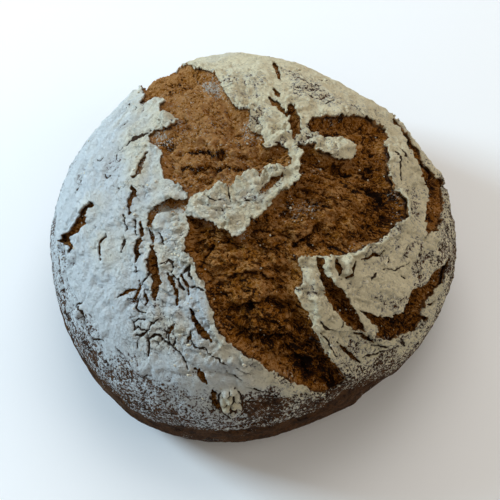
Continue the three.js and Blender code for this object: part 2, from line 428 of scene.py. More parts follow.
# The wide tears, each with its outline as the eye sees it.
TEARS = (
    # Upper left.
    Tear(
        wall=2.4,
        swell=2.6,
        outline=(
            (-25, 89.5), (-19, 89.5), (-15.5, 86.5), (-13.5, 81.5), (-11.5, 76.5), (-8, 72.5), (-4, 70),
            (-1, 69.5), (1, 66), (0, 59.5), (6, 58.5), (8, 51.5), (11.5, 51), (14, 52.5), (19.5, 48.5),
            (20, 41), (18, 39.5), (11, 41.5), (8, 40.5), (6.5, 37), (4, 34.5), (3, 38.5), (-3.5, 37.5),
            (-7.5, 32.5), (-11, 31), (-16, 34), (-18, 31), (-22.5, 28), (-27.5, 26.5), (-30, 23),
            (-31, 18.5), (-37.5, 18), (-46, 16.5), (-47.5, 10.5), (-49.5, 10.5), (-50, 19), (-45, 23),
            (-39, 25), (-31.5, 25.5), (-33.5, 29.5), (-40, 34), (-43.5, 35), (-44.5, 42.5), (-44.5, 49.5),
            (-50, 53.5), (-51, 57), (-47.5, 59.5), (-39, 60.5), (-36, 63.5), (-41, 67.5), (-45.5, 68),
            (-43, 74.5), (-47.5, 74), (-53.5, 72), (-53, 76.5),
        ),
        behind=(
            (124.5, 80), (121.5, 87), (121, 93), (117.5, 97), (116.5, 102), (114.5, 96), (112, 90),
            (112.5, 84), (110, 76),
        ),
    ),
    # Middle.
    Tear(
        wall=4.3,
        swell=3.4,
        outline=(
            (23, 39), (23.5, 35), (18.5, 30.5), (15, 29), (11.5, 26), (8, 20.5), (3, 17), (0, 16),
            (-1.5, 12), (-7, 7.5), (-11, 10.5), (-22.5, 15.5), (-31.5, 17.5), (-30.5, 11), (-32, 3.5),
            (-29, -4), (-25, -12.5), (-21.5, -22.5), (-19, -30.5), (-15.5, -40), (-9.5, -47.5), (0, -53.5),
            (9, -60), (20, -65), (31, -69), (40, -70), (47.5, -64), (44, -58), (38, -50), (32.5, -39),
            (26.5, -26.5), (23, -21), (26, -14.5), (25.5, -8), (23.5, -4), (35, -3.5), (40, -2.5), (44, -4),
            (51, -1.5), (60, 3), (67, 6.5), (73, 14.5), (76.5, 16), (76, 22.5), (73.5, 28), (68.5, 36),
            (68, 45), (66.5, 53.5), (69, 55), (66.5, 59.5), (60, 64.5), (52.5, 67), (40, 66), (34, 65.8),
            (29.5, 65), (27.8, 62), (29, 59), (32, 57.5), (40, 55), (45, 54.5), (51, 50), (50, 46),
            (42.5, 45.5), (34, 48.5), (31, 51.5), (22, 52.5), (23, 56), (25.2, 57), (24.8, 61), (24, 68),
            (20, 73), (18, 71), (19.5, 60), (21, 52.5), (24, 48),
        ),
    ),
    # Right side.
    Tear(
        wall=3.6,
        swell=1.6,
        outline=(
            (67, 69.5), (71.5, 66), (76, 60), (79, 54), (84, 49), (86, 44), (91.5, 38), (95.5, 35),
            (97, 29), (96.5, 17.5), (94, 12), (89, 8.5), (84.5, 5), (84, 9), (86.5, 19), (86.5, 26.5),
            (83.5, 36), (79.5, 45), (76, 53.5), (70, 64),
        ),
    ),
    # Lower right.
    Tear(
        wall=3.0,
        swell=1.5,
        outline=(
            (54, -29.5), (60, -31), (66, -32.5), (71.5, -30.5), (76, -25), (79, -20.5), (84.5, -17),
            (89, -11), (98, -2.5), (96.5, -9), (92, -20), (87, -26.5), (84.5, -36), (82, -40.5),
            (72.5, -43), (62.5, -44), (59, -41.5), (62, -39), (58, -34.5),
        ),
    ),
    # Lens.
    Tear(
        wall=3.6,
        swell=0.0,
        outline=(
            (32.5, -3.5), (35.8, -3.5), (36.5, -8), (39.5, -14.5), (45, -18.5), (48.5, -23), (51, -27.5),
            (54, -33.5), (56.5, -39.5), (50.5, -40), (45.5, -35), (41.5, -29.5), (37.5, -24.5),
            (35.5, -19.5), (34, -14.5), (33, -9),
        ),
    ),
)

# Cracks through the skin, first those of the left plate.
CRACKS = (
    Crack(3.3, 3.6, (
        (-77.5, 22), (-80, 19.5), (-82, 16.5), (-84, 13.5), (-86.5, 10.5), (-89, 8), (-92, 6.5),
    )),
    Crack(1.8, 2.6, ((-95, 5), (-90.5, 4), (-88, 1), (-90, -3))),
    Crack(1.4, 2.0, ((-71.5, 7.5), (-74.5, 2.5), (-75, -1), (-73.5, -4.5))),
    Crack(2.0, 2.2, ((-58, 31), (-57, 28.5), (-58.5, 25.5), (-59.5, 22), (-59, 18))),
    Crack(1.6, 1.8, ((-51, 48), (-53, 44.5), (-54, 41), (-54.5, 38), (-56.5, 35.5))),
    Crack(1.7, 2.2, ((-54, 14), (-53, 10.5), (-54, 5.5), (-55.5, 0), (-56, -5.5))),
    Crack(1.3, 1.5, ((-49.5, 10), (-48, 7), (-48, 2))),
    Crack(2.6, 2.8, ((-48, 2), (-47.5, -4), (-47.5, -9), (-46, -14), (-46, -20), (-47, -23))),
    Crack(1.7, 2.2, ((-40.5, -11.5), (-38.5, -15.5), (-37, -19), (-36.5, -22.5), (-36.5, -27.5))),
    Crack(1.4, 1.6, ((-34, -12), (-32, -15.5), (-31, -18), (-30.5, -22))),
    Crack(1.6, 2.0, ((-29, -29), (-28, -34), (-26, -36.5), (-24.5, -39.5), (-22.5, -42), (-19.5, -44.5))),
    Crack(1.2, 1.8, ((-66, -23.5), (-62.5, -21.5), (-59.5, -20), (-55.5, -19.5))),
    Crack(1.2, 1.8, ((-60, -24), (-57.5, -24.5), (-56, -22), (-55, -19), (-55, -15))),
    Crack(1.1, 1.6, ((-52, -19.5), (-52, -22.5), (-51, -24.5), (-51.5, -27))),
    Crack(1.1, 1.5, ((-41, -42.5), (-40, -40), (-38.5, -38.5), (-37, -36))),
    Crack(1.1, 1.4, ((-32.5, -45.5), (-30.5, -44), (-29.5, -42.5), (-29.5, -40))),
    Crack(1.8, 1.8, ((-27.5, -59), (-25.5, -60), (-23.5, -63), (-21.5, -66))),
    Crack(1.6, 1.8, ((-19, -69), (-17.5, -72.5), (-17.5, -76), (-15.5, -79))),
    Crack(1.1, 1.6, ((55, -4.5), (58.5, -4), (61, -2), (64.5, -3), (66.5, 0), (68.5, 3))),
    Crack(1.6, 2.0, ((43, -3), (43.5, -7), (44.5, -12.5))),
    Crack(1.2, 1.8, ((44.5, -14), (47.5, -14), (50.5, -12), (51.5, -9), (52.5, -5))),
    Crack(1.4, 1.6, ((51, -40.5), (54, -41.5), (57, -43), (61, -45.5))),
    Crack(1.2, 1.4, ((43, -45.5), (46, -48.5), (49, -51), (51, -53.5), (55, -56))),
    Crack(2.0, 1.6, ((12, 93.5), (13.5, 89), (14.5, 85.5))), Crack(1.6, 1.6, ((12, 81), (14, 76.5))),
    Crack(1.9, 1.8, ((10, 76), (13.5, 73), (16.5, 69), (18, 66))),
    Crack(1.9, 1.8, ((4.5, 27.5), (8.5, 31.5), (12, 34.5), (16, 36.5))),
    Crack(1.5, 2.0, ((84.5, -33), (87.5, -34.5))), Crack(1.1, 1.4, ((93, -23.5), (91, -26), (87, -27.5))),
)

# Hairline splits of the flour, some of them round plates and lumps that stand up.
SLITS = (
    Slit(0.5, ((-68, 44.5), (-67.5, 47), (-66.5, 49.5), (-64, 51), (-61, 52.5))),
    Slit(0.9, ((-61, 52.5), (-58, 54.5), (-55.5, 56), (-52, 57.5), (-49, 59))),
    Slit(0.5, ((-68, 65), (-65, 68), (-61, 71.5), (-58, 74.5))),
    Slit(0.6, ((-60.5, 64.5), (-64, 61), (-66, 59))), Slit(0.5, ((-56, 70.5), (-58, 68.5))),
    Slit(0.5, ((-50.5, 67.5), (-52, 66))), Slit(0.5, ((-73, 38), (-71.5, 36), (-70, 38))),
    Slit(0.5, ((-66.5, 31), (-65, 30.5))),
    Slit(0.6, ((-62, 17.5), (-62, 14), (-61.5, 11), (-62, 7), (-62.5, 2.5), (-64, -1))),
    Slit(0.6, ((-57.5, 15), (-57, 11), (-56.5, 7.5))), Slit(0.7, ((-45, 8.5), (-43.5, 6), (-42.5, 3))),
    Slit(0.6, ((-43, -6.5), (-41, -6), (-40, -5), (-38, -6), (-38, -8.5), (-39, -11))),
    Slit(0.5, ((-39, -11), (-37.5, -13.5), (-35.5, -14.5), (-34.5, -17), (-33, -20))),
    Slit(0.5, ((-31, -18), (-28.5, -18.5), (-25.5, -18.5), (-22.5, -19.5))),
    Slit(0.7, ((-33.5, -12), (-32, -10), (-29.5, -7.5))),
    Slit(0.7, ((-29.5, -7.5), (-30, -11), (-28.5, -14))),
    Slit(0.5, ((-49.5, -11.5), (-51, -14), (-53, -15.5), (-54, -17.5))),
    Slit(0.6, ((-56.5, -8), (-56, -10.5), (-57, -11))),
    Slit(0.5, ((-56, -22.5), (-56, -26.5), (-56.5, -29), (-55.5, -30.5), (-53.5, -31), (-51.5, -31.5))),
    Slit(0.5, ((-59, -33.5), (-58, -36), (-57.5, -38), (-58, -40))),
    Slit(0.4, ((-58, -36), (-55.5, -34.5), (-53, -35), (-52, -33))),
    Slit(0.5, ((-58, -40), (-56, -38.5), (-54, -40), (-52, -40.5), (-50, -39.5))),
    Slit(0.6, ((-57, -42.5), (-55, -43), (-53.5, -42), (-51.5, -41))),
    Slit(0.5, ((-50, -39.5), (-49.5, -36.5), (-48, -36.5), (-46, -34.5))),
    Slit(0.6, ((-51.5, -41), (-51, -44), (-50.5, -47), (-50.5, -50), (-51, -53.5))),
    Slit(0.6, ((-50.5, -44.5), (-49, -43.5), (-47.5, -42.5), (-45, -43), (-44.5, -45.5))),
    Slit(0.5, ((-48, -45.5), (-46, -47.5))), Slit(0.5, ((-40.5, -42), (-42, -42.5), (-42.5, -44.5))),
    Slit(0.6, ((-41, -42.5), (-41, -45), (-39, -47.5))),
    Slit(0.8, ((-43, -46), (-41, -47), (-39, -48), (-37, -49.5), (-35, -51))),
    Slit(0.7, ((-37, -44), (-37.5, -46), (-38.5, -48))), Slit(0.5, ((-56.5, -45.5), (-56.5, -49))),
    Slit(0.5, ((-29.5, -42), (-28.5, -46), (-26.5, -47.5), (-23, -48.5), (-20, -51))),
    Slit(0.5, ((-33, -55), (-31.5, -56.5), (-30.5, -59))), Slit(0.5, ((-35, -51), (-34, -53), (-33, -55))),
    Slit(0.4, ((-53.5, -64), (-51, -62.5), (-49.5, -63.5))),
    Slit(0.5, ((-86, -28.5), (-84, -28), (-82.5, -30), (-82, -33), (-81.5, -37))),
    Slit(0.4, ((-84.5, -33.5), (-82, -33))),
    Slit(0.5, ((-80, -38), (-78, -44.5), (-75, -44.5), (-73, -46))),
    Slit(0.5, ((-71, -56.5), (-68.5, -61))), Slit(0.5, ((-67, -48.5), (-64.5, -52))),
    Slit(0.35, ((-23, -49), (-15, -54), (-11, -57))), Slit(0.3, ((-7, -58.5), (1, -62.5))),
    Slit(0.35, ((-12, -60.5), (-4, -64.5))), Slit(0.35, ((-2, -68), (8, -71), (13, -72))),
    Slit(0.35, ((-2, -74), (6, -76), (14, -77))), Slit(0.6, ((72.5, 49.5), (74.5, 46.5), (76, 42.5))),
    Slit(0.7, ((70.5, 48), (72.5, 43), (74.5, 38), (75.5, 35))), Slit(0.6, ((77, 33), (79, 28), (80, 22))),
    Slit(0.5, ((72, 62), (76, 56), (79, 50))), Slit(0.5, ((37, 72), (42, 73.5), (48, 71))),
    Slit(0.4, ((54, 72), (58, 71), (62, 68.5))), Slit(0.6, ((76, -1), (78, -3.5))),
    Slit(0.6, ((68, -6), (69, -3.5))),
    Slit(0.3, ((66, -10), (67.5, -9), (71.5, -10), (73.5, -9), (77, -7.5), (79, -6))),
    Slit(0.45, ((60, -15.5), (60.5, -14), (62.5, -11.5), (64, -10.5))), Slit(0.5, ((75, -13), (77, -14.5))),
    Slit(0.6, ((34, -34), (35.5, -36.5), (38, -38.5), (41, -39.5))), Slit(0.5, ((45.5, -34), (44.5, -37))),
    Slit(0.7, ((56, -53), (59, -52), (62, -51.5), (65, -50), (69, -50.5))),
    Slit(0.8, ((74, -44), (76, -46.5), (77.5, -48))),
    Slit(0.5, ((34, -40), (37, -43), (39.5, -48), (42, -52))), Slit(0.5, ((60, -47), (66, -47), (71, -46))),
    Slit(0.5, ((92, -4), (90.5, -9))), Slit(0.6, ((89, -12), (87.5, -13.5))),
    Slit(0.5, ((82, 4), (83.5, 0), (85, -3))), Slit(0.35, ((-11, 34), (-10.5, 28), (-9.5, 24))),
    Slit(0.55, (
        (-14.5, -70.5), (-15.5, -73.5), (-15.5, -77), (-14, -80), (-11, -82.5), (-8, -83.5), (-5, -82.5),
    )),
    Slit(0.45, ((-5, -82.5), (-3, -80), (-4, -77), (-4, -74), (-5, -71.5), (-7.5, -69))),
    Slit(0.4, ((-10.2, -69.5), (-10.3, -71.5), (-11.5, -73), (-13.5, -73))),
    Slit(0.4, ((-10.3, -71.5), (-8.5, -72.5), (-8, -74.5), (-9.5, -76), (-11.5, -76.2), (-13, -77.5))),
    Slit(0.4, ((-8, -74.5), (-6, -75.5), (-4.5, -76.5))),
    Slit(0.4, ((-9.5, -76), (-9.5, -78.5), (-9, -79.5), (-7, -79.2), (-6.3, -77.5))),
    Slit(0.35, ((-9, -79.5), (-10.5, -80.5), (-11, -82.5))),
    Slit(0.4, ((-86.5, -33), (-86.8, -29.5), (-85.5, -26.5), (-83.5, -26.5))),
    Slit(0.5, ((62.5, 10), (64, 12), (65.5, 16), (66, 20))),
    Slit(0.35, ((-95, -22), (-92.5, -20), (-90.5, -24))), Slit(0.4, ((-77, 46), (-74, 44), (-72, 47))),
    Slit(0.4, ((-88, 28), (-85.5, 32), (-84, 37))), Slit(0.4, ((-80, 52), (-77, 57), (-73, 62))),
    Slit(0.4, ((30, 86), (34, 84), (39, 84.5), (43, 82))), Slit(0.4, ((22, 88), (26, 90), (31, 89))),
    Slit(0.3, ((-22, 27), (-17, 24), (-12, 26))), Slit(0.3, ((-6, 22), (-1, 25), (3, 24))),
)

# Lines below which the torn crust drops.
LEDGES = (
    Ledge(1.6, 5.0, ((-30.5, 50.5), (-26.5, 51.5), (-22.5, 51), (-18, 49.5), (-14, 50.5))),
    Ledge(2.0, 4.0, (
        (-35, 41), (-32, 43.5), (-28.5, 42), (-24.5, 43.5), (-21, 44), (-17, 42.5), (-13, 44), (-9, 42),
        (-5, 43.5), (-2, 42),
    )),
    Ledge(1.8, 3.0, ((-18.5, 2), (-21, -2), (-23.5, -6), (-25, -9))),
    Ledge(2.0, 6.0, ((25, 2.5), (28, 5), (31.5, 8.5), (35, 12))),
    Ledge(2.5, 5.0, ((-6, -40), (-1.5, -43.5), (4, -45.5), (9, -46.5), (14, -46), (19, -44))),
    Ledge(2.5, 4.5, ((20, -51), (25, -56), (29, -60), (31, -65))),
    Ledge(2.0, 2.5, ((37.5, -66.5), (42.5, -68), (47.5, -69.5))),
    Ledge(2.2, 6.0, ((61, 33.5), (65, 32), (69, 29), (71, 25))),
    Ledge(1.8, 2.5, ((45, 44), (49, 42), (53, 40))), Ledge(1.6, 2.5, ((34, 25), (37.5, 23.5), (41.5, 22))),
    Ledge(1.5, 4.0, ((-10, -14), (-2, -11), (6, -12), (12, -16))),
    Ledge(1.5, 4.0, ((-6, -30), (2, -27), (10, -27), (18, -31))),
)

# Depth of dips in the torn crust.
HOLLOWS = Spots((
    (64, 30.5, 4, 3.5, 2.6), (71.5, 25, 3, 3, 2.6), (65, 22, 3, 2.5, 2), (35.5, 11, 2.5, 4, 2),
    (46, 43, 6, 1.8, 1.8), (38, 25, 4, 2, 1.6), (47.5, 14.5, 3, 4, 1.2), (63.5, 38.5, 5, 2, 2),
    (-3.5, -42.5, 4, 3, 2), (6, -45.5, 5, 3, 2.5), (13.5, -46.5, 4, 4, 2.5), (24, -40, 2, 5, 2),
    (28.5, -60, 6, 6, 3), (42.5, -68, 6, 1.5, 2), (-5, -17.5, 3, 3, 1.2), (17.5, -22.5, 3, 4, 1.5),
    (12.5, -10, 5, 2.5, 2), (-12.5, 0, 3, 3, 1), (-41.5, 52.5, 3, 3, 3), (-47, 56, 4, 3, 2),
    (-26, 15, 6, 2.5, 3.5), (-14.5, 10.5, 5, 2, 2.5), (4, 55, 5, 3, 2.5), (-36, 24.5, 6, 1.5, 2.5),
    (82, 46.5, 3.5, 4, 3.5), (-36, 88, 15, 9, 5.5), (95, 34, 4, 12, 2.5), (-50, 78, 5, 5, 3),
))

# Depth of dips in the skin. A negative one is a swelling.
KNOBS = Spots((
    (30, -13, 4.5, 9, -1.8), (43, 50, 8, 5, -1.7), (24.5, 36, 3.5, 9, -1.2), (-22, 23, 8, 6, -1.3),
    (-9, 15, 6, 5, -1.2), (3, 33, 4, 4.5, -1.3), (13, 38.5, 6, 3, -1.2), (10, 25, 6, 4, -1),
    (-9, 80, 6, 10, -1.7), (-3, 67, 6, 7, -1.5), (8, 62, 5, 6, -1.4), (4, 84, 8, 5, -1.1),
    (14, 55, 5, 5, -1.3), (-40, 42, 6, 8, -1.3), (-37, 26.5, 7, 3.5, -1.4), (-40, 8, 6, 6, -1.2),
    (70, -18, 9, 8, -1.2), (58, -14, 7, 7, -1), (76, 22, 4, 9, -1.2), (74, 46, 4, 9, -1),
    (33.5, -27, 5, 7, -1.6), (37.5, -36, 5, 5, -1.4), (-40.5, 63.5, 5, 4, -2.2), (68, -70, 24, 8, 3),
    (97, 20, 5, 24, 1.6), (-14, 95, 16, 6, 1.4), (92, 47, 7, 13, 2.4), (76, 68, 8, 8, 1.6),
    (-28, -46, 6, 5, -1.2), (-17, -53, 6, 5, -1), (-84, -31.5, 2.5, 4, -1),
))

# The same for small round lumps, which keep their place.
DOMES = Spots((
    (-12, -71, 2.4, 2.2, -2), (-8.5, -70.5, 2.3, 2, -1.8), (-6, -73.5, 2.2, 2, -1.8),
    (-10, -74.3, 2.4, 2, -2), (-13.5, -75, 2, 1.8, -1.6), (-7.5, -77, 2.4, 2, -2),
    (-11.5, -78.5, 2.5, 2.1, -2), (-5, -79.5, 1.8, 1.6, -1.4), (-8.5, -81, 2.1, 1.8, -1.6),
    (38.6, -6.5, 3.8, 4.4, -2.8), (40.5, -12.5, 3.8, 4.4, -3), (48, -6, 3.4, 3.6, -2.8),
    (47.8, -10.6, 3, 3, -2.4), (-84.5, -30, 2.4, 3.6, -1.2), (-41, 64, 3.5, 3, -1.6),
    (65.5, -23.5, 2.5, 2, -1.4), (73, -22.5, 2.2, 1.8, -1.3), (76.5, -19, 2.5, 2.2, -1.3),
    (70, -25.5, 2.2, 1.6, -1.2), (84, 8, 2, 3, -1.2), (67.5, 14, 2, 4, -1.2), (20.5, 60.5, 2.5, 3, -1.3),
    (16.5, 57, 2.2, 2.5, -1.2), (-17.5, 84, 2, 2, -1.5), (-21, 82, 1.6, 1.6, -1.2),
))

# How much darker the torn crust is, or lighter if negative: partly scorching, partly painted shadow and
# painted light.
SCORCH_AND_SHADE = Spots((
    (-43, 54, 8, 5, 0.5), (-47, 13, 4, 5, 0.2), (71, 22, 7, 15, 0.36), (63, 57, 9, 4, 0.2),
    (49, 47, 13, 9, -0.34), (10, -45, 17, 5, 0.28), (30, -61, 9, 8, 0.3), (-27, 18, 9, 5, 0.35),
    (90, 30, 5, 9, 0.25), (79, 50, 5, 6, 0.3), (72, -38, 12, 4, 0.15), (42, 24, 18, 18, -0.26),
    (14, -12, 20, 12, -0.14), (-4, -28, 12, 9, 0.06), (12, -60, 14, 6, -0.16), (54, 3, 20, 5, -0.12),
))

# How much flour lies on the torn crust.
DUSTY = Spots((
    (2, 62, 7, 9, 0.45), (-40, 19, 12, 4.5, 1), (-49, 10, 3, 6, 0.8), (27, 21, 13, 9, 0.36),
    (-46, 57, 6, 5, 0.35), (-18, 82, 7, 6, 0.5), (24, 46, 5, 8, 0.3), (32, 41, 12, 4, 0.25),
    (35, -45, 5, 12, 0.22), (-2, 8, 6, 3, 0.3),
))

# How much thinner the flour lies on the skin, or thicker if negative.
THIN = Spots((
    (25, 82, 12, 9, 0.4), (6, 86, 8, 8, 0.25), (30, 76, 14, 8, 0.35), (48, 72, 14, 6, 0.3),
    (50, -50, 20, 9, -0.3), (68, -50, 14, 8, -0.1), (-34, -73, 30, 14, 0.52), (-60, -62, 20, 17, 0.42),
    (-50, -55, 34, 20, 0.15), (-78, -44, 9, 18, 0.5), (2, -76, 20, 9, 0.85), (22, -68, 12, 5, -0.25),
    (70, -26, 14, 6, 0.45), (32, -25, 6, 20, -0.35), (43, -10, 9, 8, -1.3), (-9.5, -75.5, 6.5, 7.5, -2.2),
    (-18, -75, 2.5, 9, 0.7), (1, -78, 5, 8, 0.5), (-41, 64, 6, 5, -0.6), (-35, 12, 9, 14, -0.3),
    (-87, 5, 8, 8, 0.1), (-45, -40, 14, 12, 0.12), (85, -25, 13, 15, 0.25), (96, 3, 6, 26, 0.8),
    (88, -8, 10, 16, 0.3), (-17, 17, 12, 7, 0.12), (0, 28, 8, 9, 0.28), (62, -20, 9, 7, 0.18),
    (-94, 10, 7, 50, -0.3),
))

# Where the flour has a net of fine cracks.
CHAPPED = Spots((
    (-38, -40, 26, 18, 1), (-55, -22, 12, 8, 0.8), (-36, -2, 10, 16, 0.8), (-52, 45, 8, 18, 0.5),
    (52, -48, 22, 12, 0.6), (66, 0, 12, 10, 0.5),
))

# Where the flour is caked in pebbles.
LUMPY = Spots((
    (-9.5, -75.5, 6, 7, 0.6), (-30, -46, 20, 12, 0.7), (-36, 4, 8, 18, 0.8), (42, -10, 8, 8, 0.7),
    (2, 66, 9, 13, 1), (2, 84, 9, 6, 0.8), (34, -24, 6, 16, 0.8), (-41, 64, 6, 5, 0.8),
    (26, 55, 8, 10, 1.2), (-8, 78, 8, 14, 0.6), (-8, 22, 20, 8, 0.4), (-56, 48, 8, 16, 0.6),
    (55, -46, 20, 10, 0.8), (72, 12, 6, 14, 0.6),
))

# How much more cream the flour is, or more blue if negative: partly the flour's own colour, partly a painted
# tint, the blue patches being painted bluish shade.
CREAM_AND_BLUE_SHADE = Spots((
    (-70, 0, 13, 15, 0.9), (-42, -40, 22, 12, 0.8), (-58, 46, 9, 22, 0.6), (-84, -32, 4, 6, 0.8),
    (-9.5, -75.5, 7, 8, 1), (-88, -14, 11, 24, -0.5), (-72, -36, 15, 14, -0.8), (-25, -30, 6, 17, -1.6),
    (-8, -57, 16, 5, -0.8), (-88, 40, 9, 18, -0.5), (-40, -62, 20, 8, -0.4), (44, 78, 28, 14, -0.8),
))

# The flour's lower edge round the loaf, as (bearing in degrees, height).
FLOUR_EDGE = (
    (0, 33), (20, 36), (45, 40), (70, 38), (90, 36), (120, 39), (150, 41), (170, 43), (194, 44), (205, 44),
    (216, 43), (227, 39), (240, 40), (251, 40), (264, 41), (274, 42), (284, 41), (291, 43), (298, 47),
    (306, 36), (317, 30), (328, 28), (347, 31),
)


class Opening(NamedTuple):
    """Openings of the skin at many crust points.

    Attributes:
        inward: How far each point lies inside an opening, negative on the skin.
        wall: Depth of that opening's wall.
        slope: How far the wall reaches inward.
        swell: How much the opening's middle rises.
    """

    inward: Values
    wall: Values
    slope: Values
    swell: Values


class CrustMap:
    """Knows, for any crust point, how far it lies inside an opening of the skin."""

    SPACING = 2.0
    TEAR_WALL = 3.0
    TEAR_SLOPE = 3.0
    FAR = 60.0
    TEAR_MARGIN = 14.0
    CRACK_MARGIN = 8.0
    SLIT_MARGIN = 4.0
    BLUNTNESS = 0.3
    BATCH = 20000

    def __init__(self, form: LoafForm, sheet: Sheet) -> None:
        """Carries all outlines on to the loaf.

        Args:
            form: The loaf.
            sheet: The sheet on which they are drawn.
        """
        self.form = form
        self.sheet = sheet
        self.tears = [(tear, self._run(self._tear_directions(tear), True)) for tear in TEARS]
        self.cracks = [(crack, self._run(sheet.carried(crack.line, form), False)) for crack in CRACKS]
        self.slits = [(slit, self._run(sheet.carried(slit.line, form), False)) for slit in SLITS]

    def _tear_directions(self, tear: Tear) -> Points:
        """Directions to a tear's outline, with the part behind the horizon.

        Args:
            tear: The tear.

        Returns:
            Unit directions from the heart.
        """
        seen = self.sheet.carried(tear.outline, self.form)
        if not tear.behind:
            return seen
        turn, lean = np.radians(np.array(tear.behind, dtype=float)).T
        hidden = np.stack([np.sin(lean) * np.cos(turn), np.sin(lean) * np.sin(turn), np.cos(lean)], 1)
        return np.concatenate([seen, hidden])

    def _run(self, corners: Points, closed: bool) -> Points:
        """Evenly spaced crust points on a smooth curve through corners.

        Args:
            corners: Unit directions to the corners.
            closed: Whether the curve returns to its start.

        Returns:
            The points in order, the last one on the curve's end.
        """
        knots = self.form.crust(corners)
        if closed:
            before, after, last = np.roll(knots, 1, 0), np.roll(knots, -1, 0), np.roll(knots, -2, 0)
        else:
            ends = np.concatenate([2 * knots[:1] - knots[1:2], knots, 2 * knots[-1:] - knots[-2:-1]])
            before, knots, after, last = ends[:-3], ends[1:-2], ends[2:-1], ends[3:]
        legs = (knots - before, after - knots, last - after)
        gap0, gap1, gap2 = (
            np.maximum(np.sqrt(np.linalg.norm(leg, axis=1, keepdims=True)), 1e-4) for leg in legs
        )
        slope0 = legs[0] / gap0 - (after - before) / (gap0 + gap1) + legs[1] / gap1
        slope1 = legs[1] / gap1 - (last - knots) / (gap1 + gap2) + legs[2] / gap2
        slope0, slope1 = slope0 * gap1, slope1 * gap1
        pieces = []
        for k in range(len(knots)):
            count = max(1, round(float(np.linalg.norm(after[k] - knots[k])) / self.SPACING))
            share = (np.arange(count) / count)[:, None]
            pieces.append(
                (2 * share**3 - 3 * share**2 + 1) * knots[k]
                + (share**3 - 2 * share**2 + share) * slope0[k]
                + (3 * share**2 - 2 * share**3) * after[k]
                + (share**3 - share**2) * slope1[k]
            )
        pieces.append(knots[:1] if closed else after[-1:])
        return self.form.crust(self.form.directions(np.concatenate(pieces)))

    @staticmethod
    def _spread(points: Points, run: Points) -> Values:
        """Distance from each point to each leg of a run.

        Args:
            points: Crust points.
            run: Points along a curve.

        Returns:
            One row for each point and one column for each leg.
        """
        start, leg = run[:-1], run[1:] - run[:-1]
        square = np.maximum(np.sum(leg * leg, axis=1), 1e-9)
        along = points @ leg.T - np.sum(start * leg, axis=1)
        apart = np.sum(points * points, axis=1)[:, None] - 2 * points @ start.T
        apart += np.sum(start * start, axis=1)
        share = np.clip(along / square, 0.0, 1.0)
        return np.sqrt(np.maximum(apart - 2 * share * along + share * share * square, 0.0))

    @staticmethod
    def _flat(directions: Points) -> Points:
        """Map with the crown in the middle and the angle from the crown as distance."""
        lean = np.arccos(np.clip(directions[:, 2], -1.0, 1.0))
        turn = np.arctan2(directions[:, 1], directions[:, 0])
        return np.stack([lean * np.cos(turn), lean * np.sin(turn)], axis=1)

    @staticmethod
    def _inside(spots: Points, ring: Points) -> Values:
        """Whether flat spots lie inside a flat ring.

        Args:
            spots: Flat spots.
            ring: Closed ring, its first spot repeated at the end.

        Returns:
            One flag for each spot.
        """
        ax, ay = ring[:-1].T
        bx, by = ring[1:].T
        x, y = spots[:, :1], spots[:, 1:]
        level = (ay > y) != (by > y)
        left = x < ax + (bx - ax) * (y - ay) / np.where(by == ay, 1e-12, by - ay)
        return (level & left).sum(axis=1) % 2 == 1

    def _in_tear(self, points: Points, directions: Points, run: Points) -> Values:
        """How far crust points lie inside a tear, negative outside.

        Args:
            points: Crust points.
            directions: Their directions from the heart.
            run: The tear's outline.

        Returns:
            One distance for each point.
        """
        ring = self._flat(self.form.directions(run))
        signed = []
        for batch in np.array_split(np.arange(len(points)), len(points) // self.BATCH + 1):
            apart = self._spread(points[batch], run).min(axis=1)
            signed.append(np.where(self._inside(self._flat(directions[batch]), ring), apart, -apart))
        return np.concatenate(signed)

    def _in_line(self, points: Points, half_width: float, run: Points) -> Values:
        """How far crust points lie inside a line that tapers to both ends, negative outside."""
        share = np.linspace(0.0, 1.0, len(run) - 1)
        taper = half_width * np.sqrt(np.maximum(1.0 - (2.0 * share - 1.0) ** 2, self.BLUNTNESS))
        return (taper - self._spread(points, run)).max(axis=1)

    def openings(self, directions: Points) -> Opening:
        """Openings of the skin, as drawn, along unit directions from the heart.

        Args:
            directions: Unit directions from the heart.

        Returns:
            The opening that each crust point lies in or nearest to.
        """
        points = self.form.crust(directions)
        found = np.tile([-self.FAR, self.TEAR_WALL, self.TEAR_SLOPE, 0.0], (len(points), 1))

        def claim(which: np.ndarray, signed: Values, *facts: float) -> None:
            """Enters an opening for the points that lie further inside it than in any other."""
            better = signed > found[which, 0]
            found[which[better], 0] = signed[better]
            found[which[better], 1:] = facts

        for tear, run in self.tears:
            which = self._near(points, run, self.TEAR_MARGIN)
            signed = self._in_tear(points[which], directions[which], run)
            claim(which, signed, tear.wall, self.TEAR_SLOPE, tear.swell)
        for crack, run in self.cracks:
            which = self._near(points, run, self.CRACK_MARGIN)
            signed = self._in_line(points[which], crack.half_width, run)
            claim(which, signed, crack.depth, min(0.8 * crack.half_width, self.TEAR_SLOPE), 0.0)
        return Opening(*found.T)

    def split(self, points: Points) -> Values:
        """How far crust points lie inside a hairline split, negative outside.

        Args:
            points: Crust points.

        Returns:
            One distance for each point.
        """
        found = np.full(len(points), -self.FAR)
        for slit, run in self.slits:
            which = self._near(points, run, self.SLIT_MARGIN)
            found[which] = np.maximum(found[which], self._in_line(points[which], slit.half_width, run))
        return found

    @staticmethod
    def _near(points: Points, run: Points, margin: float) -> np.ndarray:
        """Numbers of the points near a run."""
        middle = run.mean(axis=0)
        reach = np.linalg.norm(run - middle, axis=1).max() + margin
        return np.flatnonzero(np.linalg.norm(points - middle, axis=1) < reach)


# ---- Relief: what every piece adds to the untorn crust ----


